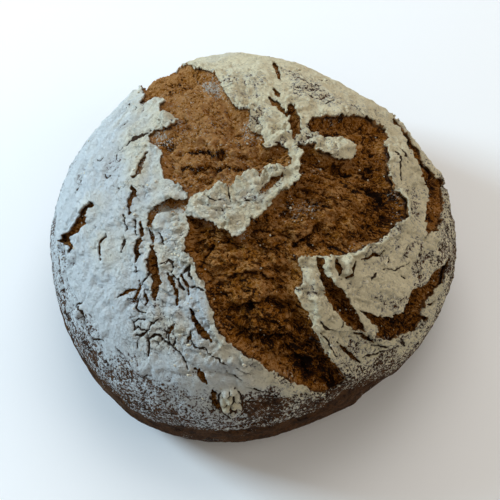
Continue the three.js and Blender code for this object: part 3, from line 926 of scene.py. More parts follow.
class Crust:
    """Crust along many directions from the heart, with its relief and surface values."""

    GRAIN = Grain(7129)
    EDGE_GRAIN = Grain(911)
    FRAY = ((0.8, 5.5), (0.75, 2.6), (0.6, 1.3), (0.35, 0.8))
    FLOUR_FRAY = ((3.0, 17.0), (2.2, 6.0), (1.6, 2.6))
    WAVES = ((0.9, 30.0), (0.5, 11.0))
    RIPPLES = ((0.4, 5.0), (0.8, 11.0))
    SPIN = 0.28

    def __init__(self, crust_map: CrustMap, directions: Points) -> None:
        """Finds the points of the untorn crust.

        Args:
            crust_map: The loaf's form and its openings.
            directions: Unit directions from the heart.
        """
        self.map = crust_map
        self.directions = directions
        self.points = crust_map.form.crust(directions)

    def smooth(self, size: float, shift: float = 0.0) -> Values:
        """Smooth noise at the points. Each shift gives another pattern."""
        return self.GRAIN.smooth(self.points + shift, size)

    def warped(self, size: float, amount: float) -> Points:
        """The points, pushed about by noise."""
        return self.GRAIN.warped(self.points, size, amount)

    @cached_property
    def seen(self) -> Points:
        """Where the points are seen on the sheet."""
        return self.map.sheet.seen_at(self.points)

    @cached_property
    def moved(self) -> Points:
        """Where they are seen, pushed about by noise."""
        return self.seen + 1.5 * np.stack([self.smooth(4.0, 40.0), self.smooth(4.0, 80.0)], axis=1)

    @cached_property
    def front(self) -> Values:
        """1 where the eye sees the crust, falling to 0 behind the horizon."""
        return ease(self.directions @ self.map.sheet.back, -0.1, 0.15)

    @cached_property
    def spun(self) -> Points:
        """Places in which patterns come out drawn along circles round the loaf."""
        radius = self.map.form.radius
        across = np.hypot(self.directions[:, 0], self.directions[:, 1])
        ring = self.SPIN * radius * self.directions[:, :2] / np.maximum(across, 0.05)[:, None]
        lean = radius * np.arccos(np.clip(self.directions[:, 2], -1.0, 1.0))
        return np.column_stack([ring * ease(across, 0.0, 0.35)[:, None], lean])

    @cached_property
    def opening(self) -> Opening:
        """Openings of the skin, with ragged edges."""
        drawn = self.map.openings(self.directions)
        small = 0.4 + 0.6 * ease(drawn.slope, 0.7, 2.0)
        fray = self.EDGE_GRAIN.layers(self.points, *self.FRAY)
        fade = ease(drawn.inward, -6.0, -1.0) * (1.0 - ease(drawn.inward, 2.5, 6.0))
        return drawn._replace(inward=drawn.inward + small * fray * fade)

    @cached_property
    def over(self) -> Values:
        """Height over the flour's ragged lower edge."""
        bearings, heights = np.array(FLOUR_EDGE, dtype=float).T
        x, y = (self.points - self.map.form.heart)[:, :2].T
        edge = np.interp(np.degrees(np.arctan2(y, x)) % 360, bearings, heights, period=360)
        return self.points[:, 2] - edge - self.GRAIN.layers(self.points, *self.FLOUR_FRAY)

    @cached_property
    def split(self) -> Values:
        """1 in a hairline split of the flour, with uneven edges."""
        return ease(self.map.split(self.warped(2.2, 0.5)) + 0.3 * self.smooth(1.3), -0.3, 0.3)

    @cached_property
    def crease(self) -> Values:
        """Long creases that run round the loaf, 1 in their middle."""
        bent = self.spun + 0.8 * self.smooth(5.0)[:, None]
        line = 1.0 - ease(np.abs(self.GRAIN.smooth(bent, 8.0)), 0.03, 0.17)
        return line * ease(self.smooth(24.0, 70.0), -0.25, 0.25)

    @cached_property
    def skin(self) -> Values:
        """Height of the brown skin over the untorn crust, without its flour."""
        curl = 0.8 * (1.0 - ease(-self.opening.inward, 0.0, 8.0)) * ease(self.opening.wall, 1.5, 3.0)
        waves = self.GRAIN.layers(self.points, *self.WAVES) + self.GRAIN.layers(self.spun, *self.RIPPLES)
        crumple = 0.3 * self.GRAIN.rough(self.points, 5.0, 3, 0.65)
        dips = (KNOBS.at(self.moved) + DOMES.at(self.seen)) * self.front
        low = ease(self.points[:, 2], 3.0, 12.0)
        return (curl + waves + crumple - self.crease - dips) * low - 0.4 * (1.0 - low)

    @cached_property
    def haze(self) -> Values:
        """Thin film of flour on the bare sides, thicker on the left and higher up."""
        return 0.32 * ease(self.over, -30.0, 2.0) * ease(-self.points[:, 0], -20.0, 60.0)

    @property
    def bake_and_shade(self) -> Values:
        """How dark the torn crust is, 0 to 1, with painted shade towards the view's lower right and painted
        light at its upper left.
        """
        right, up = self.seen.T
        lower, right_side = ease(-up, -12.0, 45.0), ease(right, 12.0, 45.0)
        rim = 1.0 - ease(self.opening.inward, 0.8, 4.0)
        broad = self.GRAIN.layers(self.points, (0.22, 15.0), (0.14, 5.5)) + SCORCH_AND_SHADE.at(self.moved)
        # Painted shade and painted light: darker towards the lower and right sides of the view, away from the
        # window light, and lighter at the upper left, where that light falls.
        bake_and_shade = 0.29 + 0.2 * lower + 0.2 * right_side - 0.4 * self.upper_left(34.0) - 0.12 * rim + broad
        return np.clip(bake_and_shade, 0.0, 1.0)

    @property
    def dust(self) -> Values:
        """Flour dust on torn crust, 0 to 1."""
        edge = 0.3 * (1.0 - ease(self.opening.inward, 0.5, 5.0)) * ease(self.smooth(12.0), 0.0, 0.5)
        return np.clip(0.22 * self.upper_left(30.0) + edge + DUSTY.at(self.moved), 0.0, 1.0) * self.front

    def upper_left(self, full: float) -> Values:
        """1 at the sheet's upper left, from the given height on."""
        right, up = self.seen.T
        return ease(22.0 - right - 0.4 * up, -12.0, 6.0) * ease(up, 14.0, full)

    def body(self) -> dict[str, Values]:
        """Whole loaf under its flour: torn crust in the openings, brown skin elsewhere.

        Returns:
            Arrays by name: height over the untorn crust, and the surface values crest (-1 to 1), torn,
            strand (places drawn along the crust's grain), bake_and_shade (with painted shade and painted
            light), dust and haze.
        """
        bent = self.warped(13.0, 3.0)
        across = self.points[:, 0]
        strand = bent * np.array([0.5, 1.0, 1.0])
        strand[:, 1] += 0.16 * across + 0.004 * across**2
        fold = self.GRAIN.smooth(strand, 8.0)
        coarse = 1.3 * self.smooth(14.0) + 0.9 * self.GRAIN.smooth(bent, 7.0)
        coarse += 1.1 * (ease(fold, -0.15, 0.05) - 0.5)
        fine = 2.4 * (self.GRAIN.ridged(strand, 3.6, 3, 0.75) - 0.55)
        fine += self.GRAIN.flakes(strand, 5.0, 0.9) + self.GRAIN.flakes(strand + 50.0, 2.4, 0.9)
        pits, dark = self._pits()
        opening = self.opening
        wide = ease(opening.inward, 1.0, 5.0)
        share = ease((opening.inward + 0.4) / (opening.slope + 0.4), 0.0, 1.0)
        depth = opening.wall * (1.0 + self.GRAIN.layers(self.points, (0.35, 24.0), (0.3, 9.0)))
        risen = opening.swell * ease(opening.inward, 2.6, 26.0)
        torn = risen - depth + (0.25 + 0.75 * wide) * (coarse + fine) - 0.8 * pits * wide
        covered = self.skin - ease(self.over, 6.0, 14.0)
        return {
            "height": ((1.0 - share) * covered + share * torn) * ease(self.points[:, 2], 0.0, 2.5),
            # crest carries the relief to the finish, which paints shade in its hollows and light on its
            # crests.
            "crest": np.clip((fine + 0.4 * coarse - 0.8 * pits) / 1.8, -1.0, 1.0),
            "torn": ease(opening.inward, -0.5, 0.4),
            "strand": strand * MM,
            # The painted ledge shadows from _pits darken this value.
            "bake_and_shade": self.bake_and_shade + 0.7 * dark,
            "dust": self.dust,
            "haze": self.haze,
        }

    def _pits(self) -> tuple[Values, Values]:
        """Depth of pits, hollows and ledges in torn crust, and the painted shadow lines under the ledges, 0
        to 1.
        """
        loose = self.warped(3.0, 1.3) * np.array([0.6, 1.0, 1.0])
        nearest, _, number = self.GRAIN.cells(loose, 4.4)
        pits = 2.6 * ease(number, 0.62, 1.0) * (1.0 - ease(nearest, 0.1, 0.6))
        drop, dark = np.zeros((2, len(self.points)))
        for ledge in LEDGES:
            below = ledge.below(self.moved)
            drop += ledge.drop * ease(below, -0.5, 0.5) * (1.0 - ease(below, 0.8, ledge.reach))
            # Painted shadow: a dark line just below each ledge, where its shade falls.
            dark = np.maximum(dark, ease(below, -0.4, 0.2) * (1.0 - ease(below, 0.7, 1.7)))
        return pits + self.front * (HOLLOWS.at(self.moved) + drop), self.front * dark

    def flour(self) -> dict[str, Values]:
        """Flour on the skin: how far it stands off, and its surface values.

        Returns:
            Arrays by name: cake (height over the skin), and the surface values flour (cover, -0.5 to
            1.9, partly lowered as painted shade), split, lumpy, haze, light_tint_and_tone (0 cool to 1 cream,
            the painted tint of the blue and warm lights with the flour's own colour) and chap.
        """
        lip = ease(self.opening.inward, -14.0, -1.0) * ease(self.opening.wall, 1.5, 3.0)
        bent = self.warped(9.0, 2.5)
        layer = self.GRAIN.rough(bent, 12.0, 4, 0.65)
        flakes = (0.4 + 0.9 * lip) * ease(layer, 0.0, 0.1)
        # Painted shadow: a greyer line at the foot of each flake's step, where its shade falls.
        flake_edge_shade = (0.35 + 0.65 * lip) * (1.0 - ease(np.abs(layer + 0.04), 0.0, 0.06))

        chap = CHAPPED.at(self.seen) * self.front + 0.6 * ease(self.smooth(34.0, 90.0), 0.15, 0.5)
        chap = np.clip(chap, 0.0, 1.0)
        nearest, second, number = self.GRAIN.cells(self.warped(5.0, 1.6), 7.0)
        crackle = chap * (1.0 - ease(second - nearest, 0.03, 0.2)) * ease(number, 0.25, 0.4)
        lumpy = np.clip(LUMPY.at(self.seen), 0.0, 1.0) * self.front
        nearest, second, number = self.GRAIN.cells(self.warped(4.0, 1.0), 3.4)
        cobbles = lumpy * (0.5 + number) * (1.0 - ease(nearest, 0.0, 0.75))
        seams = lumpy * (1.0 - ease(second - nearest, 0.04, 0.22))

        grain = 0.28 * self.GRAIN.rough(self.points, 2.4, 2, 0.8) + 0.35 * self.GRAIN.smooth(bent, 5.0)
        cake = 0.3 + grain + flakes + cobbles - 0.55 * crackle - 0.4 * seams - 1.1 * self.split

        lower = 1.0 - ease(self.over, -9.0, 26.0)
        right = ease(self.seen[:, 0], -15.0, 45.0) * self.front
        streak = 0.25 * self.GRAIN.smooth(self.spun, 6.0)
        # Thinner, greyer flour towards the right of the view is painted shade on the side away from the
        # window light. Towards its lower edge it is partly real thinning and partly painted shade on the
        # lower side.
        cover = 1.75 - 0.4 * right - THIN.at(self.moved) * self.front - 1.65 * lower + streak
        # Greyer flour in the creases is painted shade, where they fall in shadow.
        cover += 0.35 * self.smooth(16.0) - 0.7 * self.crease - 0.5 * flake_edge_shade
        cover += 0.3 * cobbles - 0.8 * crackle - 0.7 * seams

        # Painted light: cooler towards the left, where the blue window light falls, and creamier towards the
        # right and back, where the warm light falls. The lips and noise add the flour's own colour, and the
        # spots add both.
        light_tint_and_warmth = self.points[:, 0] + 0.3 * self.points[:, 1] + 22.0 * lip
        light_tint_and_warmth += 14.0 * self.GRAIN.rough(self.points, 14.0, 3, 0.6)
        light_tint_and_warmth += 20.0 * self.GRAIN.smooth(self.spun, 7.0) + 40.0 * CREAM_AND_BLUE_SHADE.at(self.moved) * self.front
        return {
            "cake": cake * ease(self.over, -8.0, 8.0) + 0.15,
            "flour": np.clip(cover, -0.5, 1.9),
            "split": self.split,
            "lumpy": lumpy,
            "haze": self.haze,
            "light_tint_and_tone": ease(light_tint_and_warmth, -75.0, 30.0),
            "chap": chap,
        }


# ---- Modelling steps on one mesh ----


def triangle_count(piece: bpy.types.Object) -> int:
    """Triangles of a mesh object."""
    return sum(len(face.vertices) - 2 for face in piece.data.polygons)


class Workpiece:
    """One mesh object that starts as a ball and is shaped with mesh operators."""

    def __init__(self, name: str, divisions: int) -> None:
        """Adds a ball of even triangles.

        Args:
            name: Name of the piece.
            divisions: How often its faces are divided.
        """
        bpy.ops.object.select_all(action="DESELECT")
        bpy.ops.mesh.primitive_ico_sphere_add(subdivisions=divisions, radius=1.0, location=(0.0, 0.0, 0.0))
        self.object = bpy.context.view_layer.objects.active
        self.object.name = name
        self.object.data.name = name

    def _rows(self, items: str, key: str, width: int, kind: type) -> np.ndarray:
        """One row of numbers for each vertex, edge or face.

        Args:
            items: Which part of the mesh: vertices, edges or polygons.
            key: Which of its values.
            width: Numbers in a row.
            kind: Type of the numbers.

        Returns:
            The rows in the mesh's order.
        """
        source = getattr(self.object.data, items)
        flat = np.empty(width * len(source), dtype=kind)
        source.foreach_get(key, flat)
        return flat.reshape(-1, width)

    def vertices(self) -> Points:
        """Vertex places."""
        return self._rows("vertices", "co", 3, float)

    def edges(self) -> np.ndarray:
        """Vertex numbers of the edges."""
        return self._rows("edges", "vertices", 2, np.int64)

    def faces(self) -> np.ndarray:
        """Vertex numbers of the triangles."""
        return self._rows("polygons", "vertices", 3, np.int64)

    def middles(self) -> Points:
        """Middles of the faces."""
        return self.vertices()[self.faces()].mean(axis=1)

    def place(self, points: Points) -> None:
        """Moves all vertices."""
        self.object.data.vertices.foreach_set("co", points.ravel())
        self.object.data.update()

    def on_faces(self, chosen: Values, operator: str, **options: object) -> None:
        """Runs one edit-mode operator on chosen faces.

        Args:
            chosen: One flag for each face.
            operator: Name of the operator in bpy.ops.mesh.
            **options: Its settings.
        """
        bpy.context.view_layer.objects.active = self.object
        bpy.context.tool_settings.mesh_select_mode = (False, False, True)
        mesh = self.object.data
        for items in (mesh.vertices, mesh.edges):
            items.foreach_set("select", np.zeros(len(items), dtype=bool))
        mesh.polygons.foreach_set("select", chosen.astype(bool))
        bpy.ops.object.mode_set(mode="EDIT")
        getattr(bpy.ops.mesh, operator)(**options)
        bpy.ops.object.mode_set(mode="OBJECT")

    def on_all(self, operator: str, **options: object) -> None:
        """Runs one edit-mode operator on all faces."""
        self.on_faces(np.ones(len(self.object.data.polygons)), operator, **options)

    def refine(self, form: LoafForm, wanted: Callable[[Points, Values], Values], rounds: int = 3) -> None:
        """Divides triangles until their edges on the crust are about as long as wanted.

        Args:
            form: The loaf.
            wanted: Gives the wanted length at directions with their present lengths.
            rounds: Most times that a triangle is divided.
        """
        for _ in range(rounds):
            corners = form.crust(unit(self.vertices()))[self.faces()]
            longest = np.linalg.norm(corners - np.roll(corners, 1, axis=1), axis=2).max(axis=1)
            self.on_faces(longest > 1.3 * wanted(unit(self.middles()), longest), "subdivide", number_cuts=1)
            self.on_all("quads_convert_to_tris")

    def store(self, values: dict[str, Values]) -> None:
        """Writes one attribute for each named array: a number for each vertex, or a place.

        Args:
            values: Arrays by attribute name.
        """
        for name, array in values.items():
            kind, key = ("FLOAT_VECTOR", "vector") if array.ndim == 2 else ("FLOAT", "value")
            layer = self.object.data.attributes.new(name, kind, "POINT")
            layer.data.foreach_set(key, array.astype(np.float32).ravel())

    def apply(self, kind: str, **settings: object) -> None:
        """Adds a modifier and applies it.

        Args:
            kind: Type of the modifier.
            **settings: Its settings.
        """
        bpy.context.view_layer.objects.active = self.object
        modifier = self.object.modifiers.new(kind.lower(), kind)
        for key, value in settings.items():
            setattr(modifier, key, value)
        bpy.ops.object.modifier_apply(modifier=modifier.name)


@dataclass
class RyeBody:
    """The whole loaf under its flour: torn crust in the openings, brown sides and a flat base.

    Attributes:
        map: The loaf's form and its openings.
        divisions: Level of the starting ball.
        torn_edge: Edge length of the mesh in the openings.
        side_edge: Edge length on the bare sides.
        hidden_edge: Edge length elsewhere.
        base_rings: Rings of the base mesh.
    """

    map: CrustMap
    divisions: int = 6
    torn_edge: float = 0.71
    side_edge: float = 1.4
    hidden_edge: float = 3.2
    base_rings: int = 10

    def build(self) -> bpy.types.Object:
        """Builds the mesh with its surface values.

        Returns:
            The mesh object.
        """
        work = Workpiece("rye_body", self.divisions)
        work.refine(self.map.form, self._wanted)
        crust = Crust(self.map, unit(work.vertices()))
        values = crust.body()
        work.place((crust.points + crust.directions * values.pop("height")[:, None]) * MM)
        work.store({**values, "spun": crust.spun * MM})
        work.on_all("bisect", plane_co=(0.0, 0.0, 0.0), plane_no=(0.0, 0.0, 1.0), clear_inner=True)
        self._close_base(work)
        bpy.ops.object.shade_smooth()
        return work.object

    def _wanted(self, directions: Points, longest: Values) -> Values:
        """Wanted edge length: short in the openings, long where flour or the cut hides the mesh.

        Args:
            directions: Unit directions from the heart.
            longest: Present edge length at each.

        Returns:
            Wanted edge length at each.
        """
        crust = Crust(self.map, directions)
        side = (crust.points[:, 2] > -1.0) & (crust.over < 6.0)
        length = np.where(side, self.side_edge, self.hidden_edge)
        return np.where(self.map.openings(directions).inward > -0.5 - 0.5 * longest, self.torn_edge, length)

    def _close_base(self, work: Workpiece) -> None:
        """Closes the cut with rings that run to the middle, and gives the flat base its shallow relief.

        Args:
            work: The loaf, cut open at its base.
        """
        rim = len(work.object.data.vertices)
        bpy.context.tool_settings.mesh_select_mode = (False, True, False)
        bpy.ops.object.mode_set(mode="EDIT")
        bpy.ops.mesh.select_all(action="DESELECT")
        bpy.ops.mesh.select_non_manifold()
        for left in range(self.base_rings, 0, -1):
            size = (left - 1.0) / left if left > 1 else 0.2
            bpy.ops.mesh.extrude_edges_move()
            bpy.ops.transform.resize(value=(size, size, 1.0), center_override=(0.0, 0.0, 0.0))
        bpy.ops.mesh.edge_face_add()
        bpy.ops.object.mode_set(mode="OBJECT")
        points = work.vertices() / MM
        across = np.hypot(points[:, 0], points[:, 1])
        lift = 0.5 + 0.45 * Crust.GRAIN.smooth(points, 14.0) + 0.3 * Crust.GRAIN.rough(points, 6.0, 3, 0.6)
        points[rim:, 2] = (np.clip(lift, 0.0, 1.5) * ease(across, 96.0, 84.0))[rim:]
        work.place(points * MM)


@dataclass
class FlourCrust:
    """Skin with its baked-on flour, cut away at every opening and along its ragged lower edge.

    Attributes:
        map: The loaf's form and its openings.
        divisions: Level of the starting ball.
        overhang: How far it reaches over an opening's edge.
        fringe: How far it reaches below the flour's lower edge.
        thickness: Thickness of skin and flour.
        rim_edge: Edge length of the mesh along its edges.
        flat_edge: Edge length elsewhere.
        scrap: Loose scraps with fewer triangles are dropped.
        most_triangles: Triangle budget.
    """

    map: CrustMap
    divisions: int = 6
    overhang: float = 0.3
    fringe: float = 9.0
    thickness: float = 1.4
    rim_edge: float = 0.45
    flat_edge: float = 0.95
    scrap: int = 10
    most_triangles: int = 196000

    def build(self) -> bpy.types.Object:
        """Builds the mesh with its surface values.

        Returns:
            The mesh object.
        """
        work = Workpiece("flour_crust", self.divisions)
        ball = Crust(self.map, unit(work.middles()))
        bare = (self.map.openings(ball.directions).inward > 5.0) | (ball.over < -2.0 * self.fringe)
        work.on_faces(bare, "delete", type="FACE")
        work.refine(self.map.form, self._wanted)
        directions, outside = self._caught(work)
        work.place(directions)
        work.on_faces((outside[work.faces()] > 1e-6).any(axis=1), "delete", type="FACE")
        self._drop_scraps(work)
        crust = Crust(self.map, unit(work.vertices()))
        values = crust.flour()
        height = crust.skin + values.pop("cake")
        work.place((crust.points + crust.directions * height[:, None]) * MM)
        work.store({**values, "spun": crust.spun * MM, "rim": np.zeros(len(height))})
        self._thicken(work)
        bpy.ops.object.shade_smooth()
        return work.object

    def _wanted(self, directions: Points, longest: Values) -> Values:
        """Wanted edge length: short along the flour's edges, longer at the back.

        Args:
            directions: Unit directions from the heart.
            longest: Present edge length at each.

        Returns:
            Wanted edge length at each.
        """
        crust = Crust(self.map, directions)
        near = np.abs(self._outside(crust)) < 0.3 + 0.6 * longest
        near |= self.map.split(crust.points) > -0.5 - 0.5 * longest
        return np.where(near, self.rim_edge, self.flat_edge * (1.7 - 0.7 * crust.front))

    def _outside(self, crust: Crust) -> Values:
        """How far points lie outside the flour, negative on it."""
        return np.maximum(crust.opening.inward - self.overhang, -0.7 * (crust.over + self.fringe))

    def _caught(self, work: Workpiece) -> tuple[Points, Values]:
        """Moves vertices beside the flour's edge on to it, so that it can be cut along them.

        Args:
            work: The mesh, as directions from the heart.

        Returns:
            The moved directions, and how far each lies outside the flour.
        """
        directions = unit(work.vertices())
        outside = self._outside(Crust(self.map, directions))
        edges = work.edges()
        crossing = edges[(outside[edges[:, 0]] > 0) != (outside[edges[:, 1]] > 0)]
        first, last = outside[crossing[:, 0]], outside[crossing[:, 1]]
        share = first / (first - last)
        moved, values = directions.copy(), outside.copy()
        order = np.argsort(-np.minimum(share, 1.0 - share))
        for (start, end), part in zip(crossing[order], share[order]):
            near = start if part < 0.5 else end
            moved[near] = directions[start] + part * (directions[end] - directions[start])
            values[near] = 0.0
        return unit(moved), values

    def _drop_scraps(self, work: Workpiece) -> None:
        """Deletes loose scraps that the cut has left.

        Args:
            work: The cut mesh.
        """
        faces = work.faces()
        label = np.arange(len(work.vertices()))
        settled = False
        while not settled:
            fresh = label.copy()
            np.minimum.at(fresh, faces.ravel(), np.repeat(label[faces].min(axis=1), 3))
            fresh = fresh[fresh]
            settled = bool((fresh == label).all())
            label = fresh
        names, counts = np.unique(label[faces[:, 0]], return_counts=True)
        work.on_faces(np.isin(label[faces[:, 0]], names[counts < self.scrap]), "delete", type="FACE")

    def _thicken(self, work: Workpiece) -> None:
        """Gives the skin its thickness and thins out the mesh of its hidden inner side.

        Args:
            work: The mesh of the outer side.
        """
        outer = len(work.vertices())
        depth = self.thickness * MM
        work.apply("SOLIDIFY", thickness=depth, offset=-1.0, use_rim=True, use_even_offset=False)
        inner = (np.arange(len(work.vertices())) >= outer).astype(np.float32)
        work.object.data.attributes["rim"].data.foreach_set("value", inner)
        group = work.object.vertex_groups.new(name="inner")
        group.add(np.flatnonzero(inner).tolist(), 1.0, "REPLACE")
        triangles = triangle_count(work.object)
        LOG.info("flour crust before thinning: %d triangles", triangles)
        if triangles > self.most_triangles:
            ratio = self.most_triangles / triangles
            work.apply("DECIMATE", ratio=ratio, vertex_group="inner", vertex_group_factor=10.0)
        work.object.vertex_groups.clear()


@dataclass
class FlourScatter:
    """Uneven little lumps of flour, strewn by chance where they are wanted.

    Attributes:
        map: The loaf's form and its openings.
        name: Name of the piece.
        wanted: Gives how likely each crust point is to get a lump.
        height: Gives the height on which the lumps lie.
        seed: Picks the chance.
        tries: Directions to choose from.
        count: How many lumps.
        divisions: Level of the ball that each lump starts from.
        radii: Radius of the smallest lump and of the largest.
        flatness: Height of a lump over its width.
    """

    map: CrustMap
    name: str
    wanted: Callable[[Crust], Values]
    height: Callable[[Crust], Values]
    seed: int
    tries: int
    count: int
    divisions: int
    radii: tuple[float, float]
    flatness: float

    def build(self) -> bpy.types.Object:
        """Builds one mesh with all lumps.

        Returns:
            The mesh object.
        """
        rng = np.random.default_rng(self.seed)
        directions = unit(rng.normal(size=(self.tries, 3)))
        directions = directions[directions[:, 2] > 0.02]
        wanted = self.wanted(Crust(self.map, directions))
        chosen = rng.choice(len(directions), self.count, replace=False, p=wanted / wanted.sum())
        crust = Crust(self.map, directions[chosen])
        outward = crust.directions
        places = crust.points + outward * self.height(crust)[:, None]

        work = Workpiece(self.name, self.divisions)
        each = len(work.vertices())
        work.apply("ARRAY", count=self.count)
        ball = unit(work.vertices()[:each])
        smallest, largest = self.radii
        size = smallest + (largest - smallest) * rng.random(self.count) ** 3
        aside = unit(np.cross(outward, unit(rng.normal(size=(self.count, 3)))))
        axes = np.stack([aside, np.cross(outward, aside), outward], axis=1)
        sides = [0.7 + 0.6 * rng.random(self.count) for _ in range(2)]
        stretch = np.column_stack([*sides, np.full(self.count, self.flatness)])
        rough = 1.0 + 0.22 * rng.normal(size=(self.count, each))
        local = ball[None, :, :] * rough[:, :, None] * (size[:, None] * stretch)[:, None, :]
        points = places[:, None, :] + np.einsum("nvk,nkc->nvc", local, axes)
        work.place(points.reshape(-1, 3) * MM)
        bpy.ops.object.shade_smooth()
        return work.object


def bits_wanted(crust: Crust) -> Values:
    """Bits lie on torn crust, near the flour's edges and in dusty places.

    Args:
        crust: Crust to choose from.

    Returns:
        How likely each point is.
    """
    beside = np.exp(-np.maximum(crust.opening.inward - 0.3, 0.0) / 1.2) * ease(crust.smooth(14.0), -0.2, 0.5)
    wanted = 0.6 * beside + 0.5 * DUSTY.at(crust.moved) * crust.front + 0.01
    return wanted * ((crust.opening.inward > 0.3) & (crust.opening.slope > 1.5))


def lumps_wanted(crust: Crust) -> Values:
    """Lumps lie on the flour, near its edges and where it is lumpy.

    Args:
        crust: Crust to choose from.

    Returns:
        How likely each point is.
    """
    wanted = 0.35 * np.exp(np.minimum(crust.opening.inward, 0.0) / 3.0) + LUMPY.at(crust.seen) * crust.front
    wanted += 0.12 * ease(crust.smooth(18.0, 30.0), 0.1, 0.5)
    return wanted * ((crust.opening.inward < -0.9) & (crust.over > 3.0))


# ---- Finishes ----


class Recipe:
    """Small helper that lays out a material's nodes. Sizes are in millimetres."""

    def __init__(self, name: str) -> None:
        """Starts an empty material."""
        self.material = bpy.data.materials.new(name)
        self.material.use_nodes = True
        self.tree = self.material.node_tree
        self.tree.nodes.clear()
        self.shader = self.add("ShaderNodeBsdfPrincipled")
        output = self.add("ShaderNodeOutputMaterial")
        self.tree.links.new(self.shader.outputs["BSDF"], output.inputs["Surface"])
        self.place = self.add("ShaderNodeTexCoord").outputs["Object"]

    def add(self, kind: str, inputs: dict | None = None, **settings: object) -> bpy.types.Node:
        """Adds a node.

        Args:
            kind: Its type.
            inputs: What its sockets get, each a socket to link or a value.
            **settings: Its other settings.

        Returns:
            The node.
        """
        node = self.tree.nodes.new(kind)
        for key, value in settings.items():
            setattr(node, key, value)
        for key, value in (inputs or {}).items():
            if isinstance(value, Socket):
                self.tree.links.new(value, node.inputs[key])
            else:
                node.inputs[key].default_value = value
        return node

    def value(self, name: str) -> Socket:
        """A surface value stored on the mesh."""
        return self.add("ShaderNodeAttribute", attribute_name=name).outputs["Fac"]

    def stored_place(self, name: str) -> Socket:
        """Places stored on the mesh, in which patterns come out drawn along its grain."""
        return self.add("ShaderNodeAttribute", attribute_name=name).outputs["Vector"]

    def texture(self, size: float, detail: float, rough: float, place: Socket | None) -> bpy.types.Node:
        """Noise texture with lumps of about the given size."""
        inputs = {"Scale": 1.0 / (size * MM), "Detail": detail, "Roughness": rough}
        return self.add("ShaderNodeTexNoise", {"Vector": place or self.place, **inputs})

    def noise(self, size: float, detail: float, rough: float = 0.55, place: Socket | None = None) -> Socket:
        """Noise around 0 with lumps of about the given size."""
        return self.math("SUBTRACT", self.texture(size, detail, rough, place).outputs["Fac"], 0.5)

    def line(self, size: float, detail: float, rough: float, place: Socket | None = None) -> Socket:
        """0 along thin winding lines, and more away from them."""
        return self.math("ABSOLUTE", self.noise(size, detail, rough, place))

    def cracks(self, size: float, width: float, place: Socket | None = None) -> Socket:
        """Fine net of cracks, 1 in a crack, with cells of the given size.

        Args:
            size: Size of a cell.
            width: Width of a crack.
            place: Where to look, or the object's own places.

        Returns:
            The net, 0 to 1.
        """
        push = self.texture(0.6 * size, 3.0, 0.5, place).outputs["Color"]
        inputs = {0: push, 1: (0.9 * size * MM,) * 3, 2: place or self.place}
        shift = self.add("ShaderNodeVectorMath", inputs, operation="MULTIPLY_ADD").outputs[0]
        inputs = {"Vector": shift, "Scale": 1.0 / (size * MM)}
        cell = self.add("ShaderNodeTexVoronoi", inputs, feature="DISTANCE_TO_EDGE")
        return self.step(cell.outputs["Distance"], 0.0, width / size, 1.0, 0.0)

    def math(self, operation: str, first: object, second: object = 0.0) -> Socket:
        """Arithmetic on two values."""
        return self.add("ShaderNodeMath", {0: first, 1: second}, operation=operation).outputs[0]

    def total(self, *parts: tuple[object, float]) -> Socket:
        """Weighted sum of values.

        Args:
            *parts: Each value with its weight.

        Returns:
            The sum.
        """
        result: object = 0.0
        for value, weight in parts:
            inputs = {0: value, 1: weight, 2: result}
            result = self.add("ShaderNodeMath", inputs, operation="MULTIPLY_ADD").outputs[0]
        return result

    def step(self, value: object, low: float, high: float, start: float = 0.0, end: float = 1.0) -> Socket:
        """Smooth change from start at low to end at high."""
        inputs = {"Value": value, "From Min": low, "From Max": high, "To Min": start, "To Max": end}
        return self.add("ShaderNodeMapRange", inputs, interpolation_type="SMOOTHSTEP").outputs["Result"]

    def blend(self, share: object, first: object, second: object) -> Socket:
        """Colour mixed from two.

        Args:
            share: Share of the second, 0 to 1.
            first: Colour at 0.
            second: Colour at 1.

        Returns:
            The colour.
        """
        node = self.add("ShaderNodeMix", data_type="RGBA")
        sockets = [node.inputs["Factor"], *(socket for socket in node.inputs if socket.type == "RGBA")]
        for socket, value in zip(sockets, (share, first, second)):
            if isinstance(value, Socket):
                self.tree.links.new(value, socket)
            else:
                socket.default_value = value
        return next(socket for socket in node.outputs if socket.type == "RGBA")

    def bump(self, height: Socket, distance: float, strength: float, under: Socket | None = None) -> Socket:
        """Fine relief for the shader, with its depth.

        Args:
            height: The relief, about -1 to 1.
            distance: Its depth.
            strength: How strongly it shows.
            under: Coarser relief on which it lies.

        Returns:
            The normal.
        """
        inputs = {"Strength": strength, "Distance": distance * MM, "Height": height}
        if under is not None:
            inputs["Normal"] = under
        return self.add("ShaderNodeBump", inputs).outputs["Normal"]

    def dry(self, colour: Socket, roughness: float, gloss: float, relief: Socket) -> None:
        """Gives the shader its colour, a dry surface and its fine relief."""
        self.tree.links.new(colour, self.shader.inputs["Base Color"])
        self.tree.links.new(relief, self.shader.inputs["Normal"])
        self.shader.inputs["Roughness"].default_value = roughness
        self.shader.inputs["Specular IOR Level"].default_value = gloss


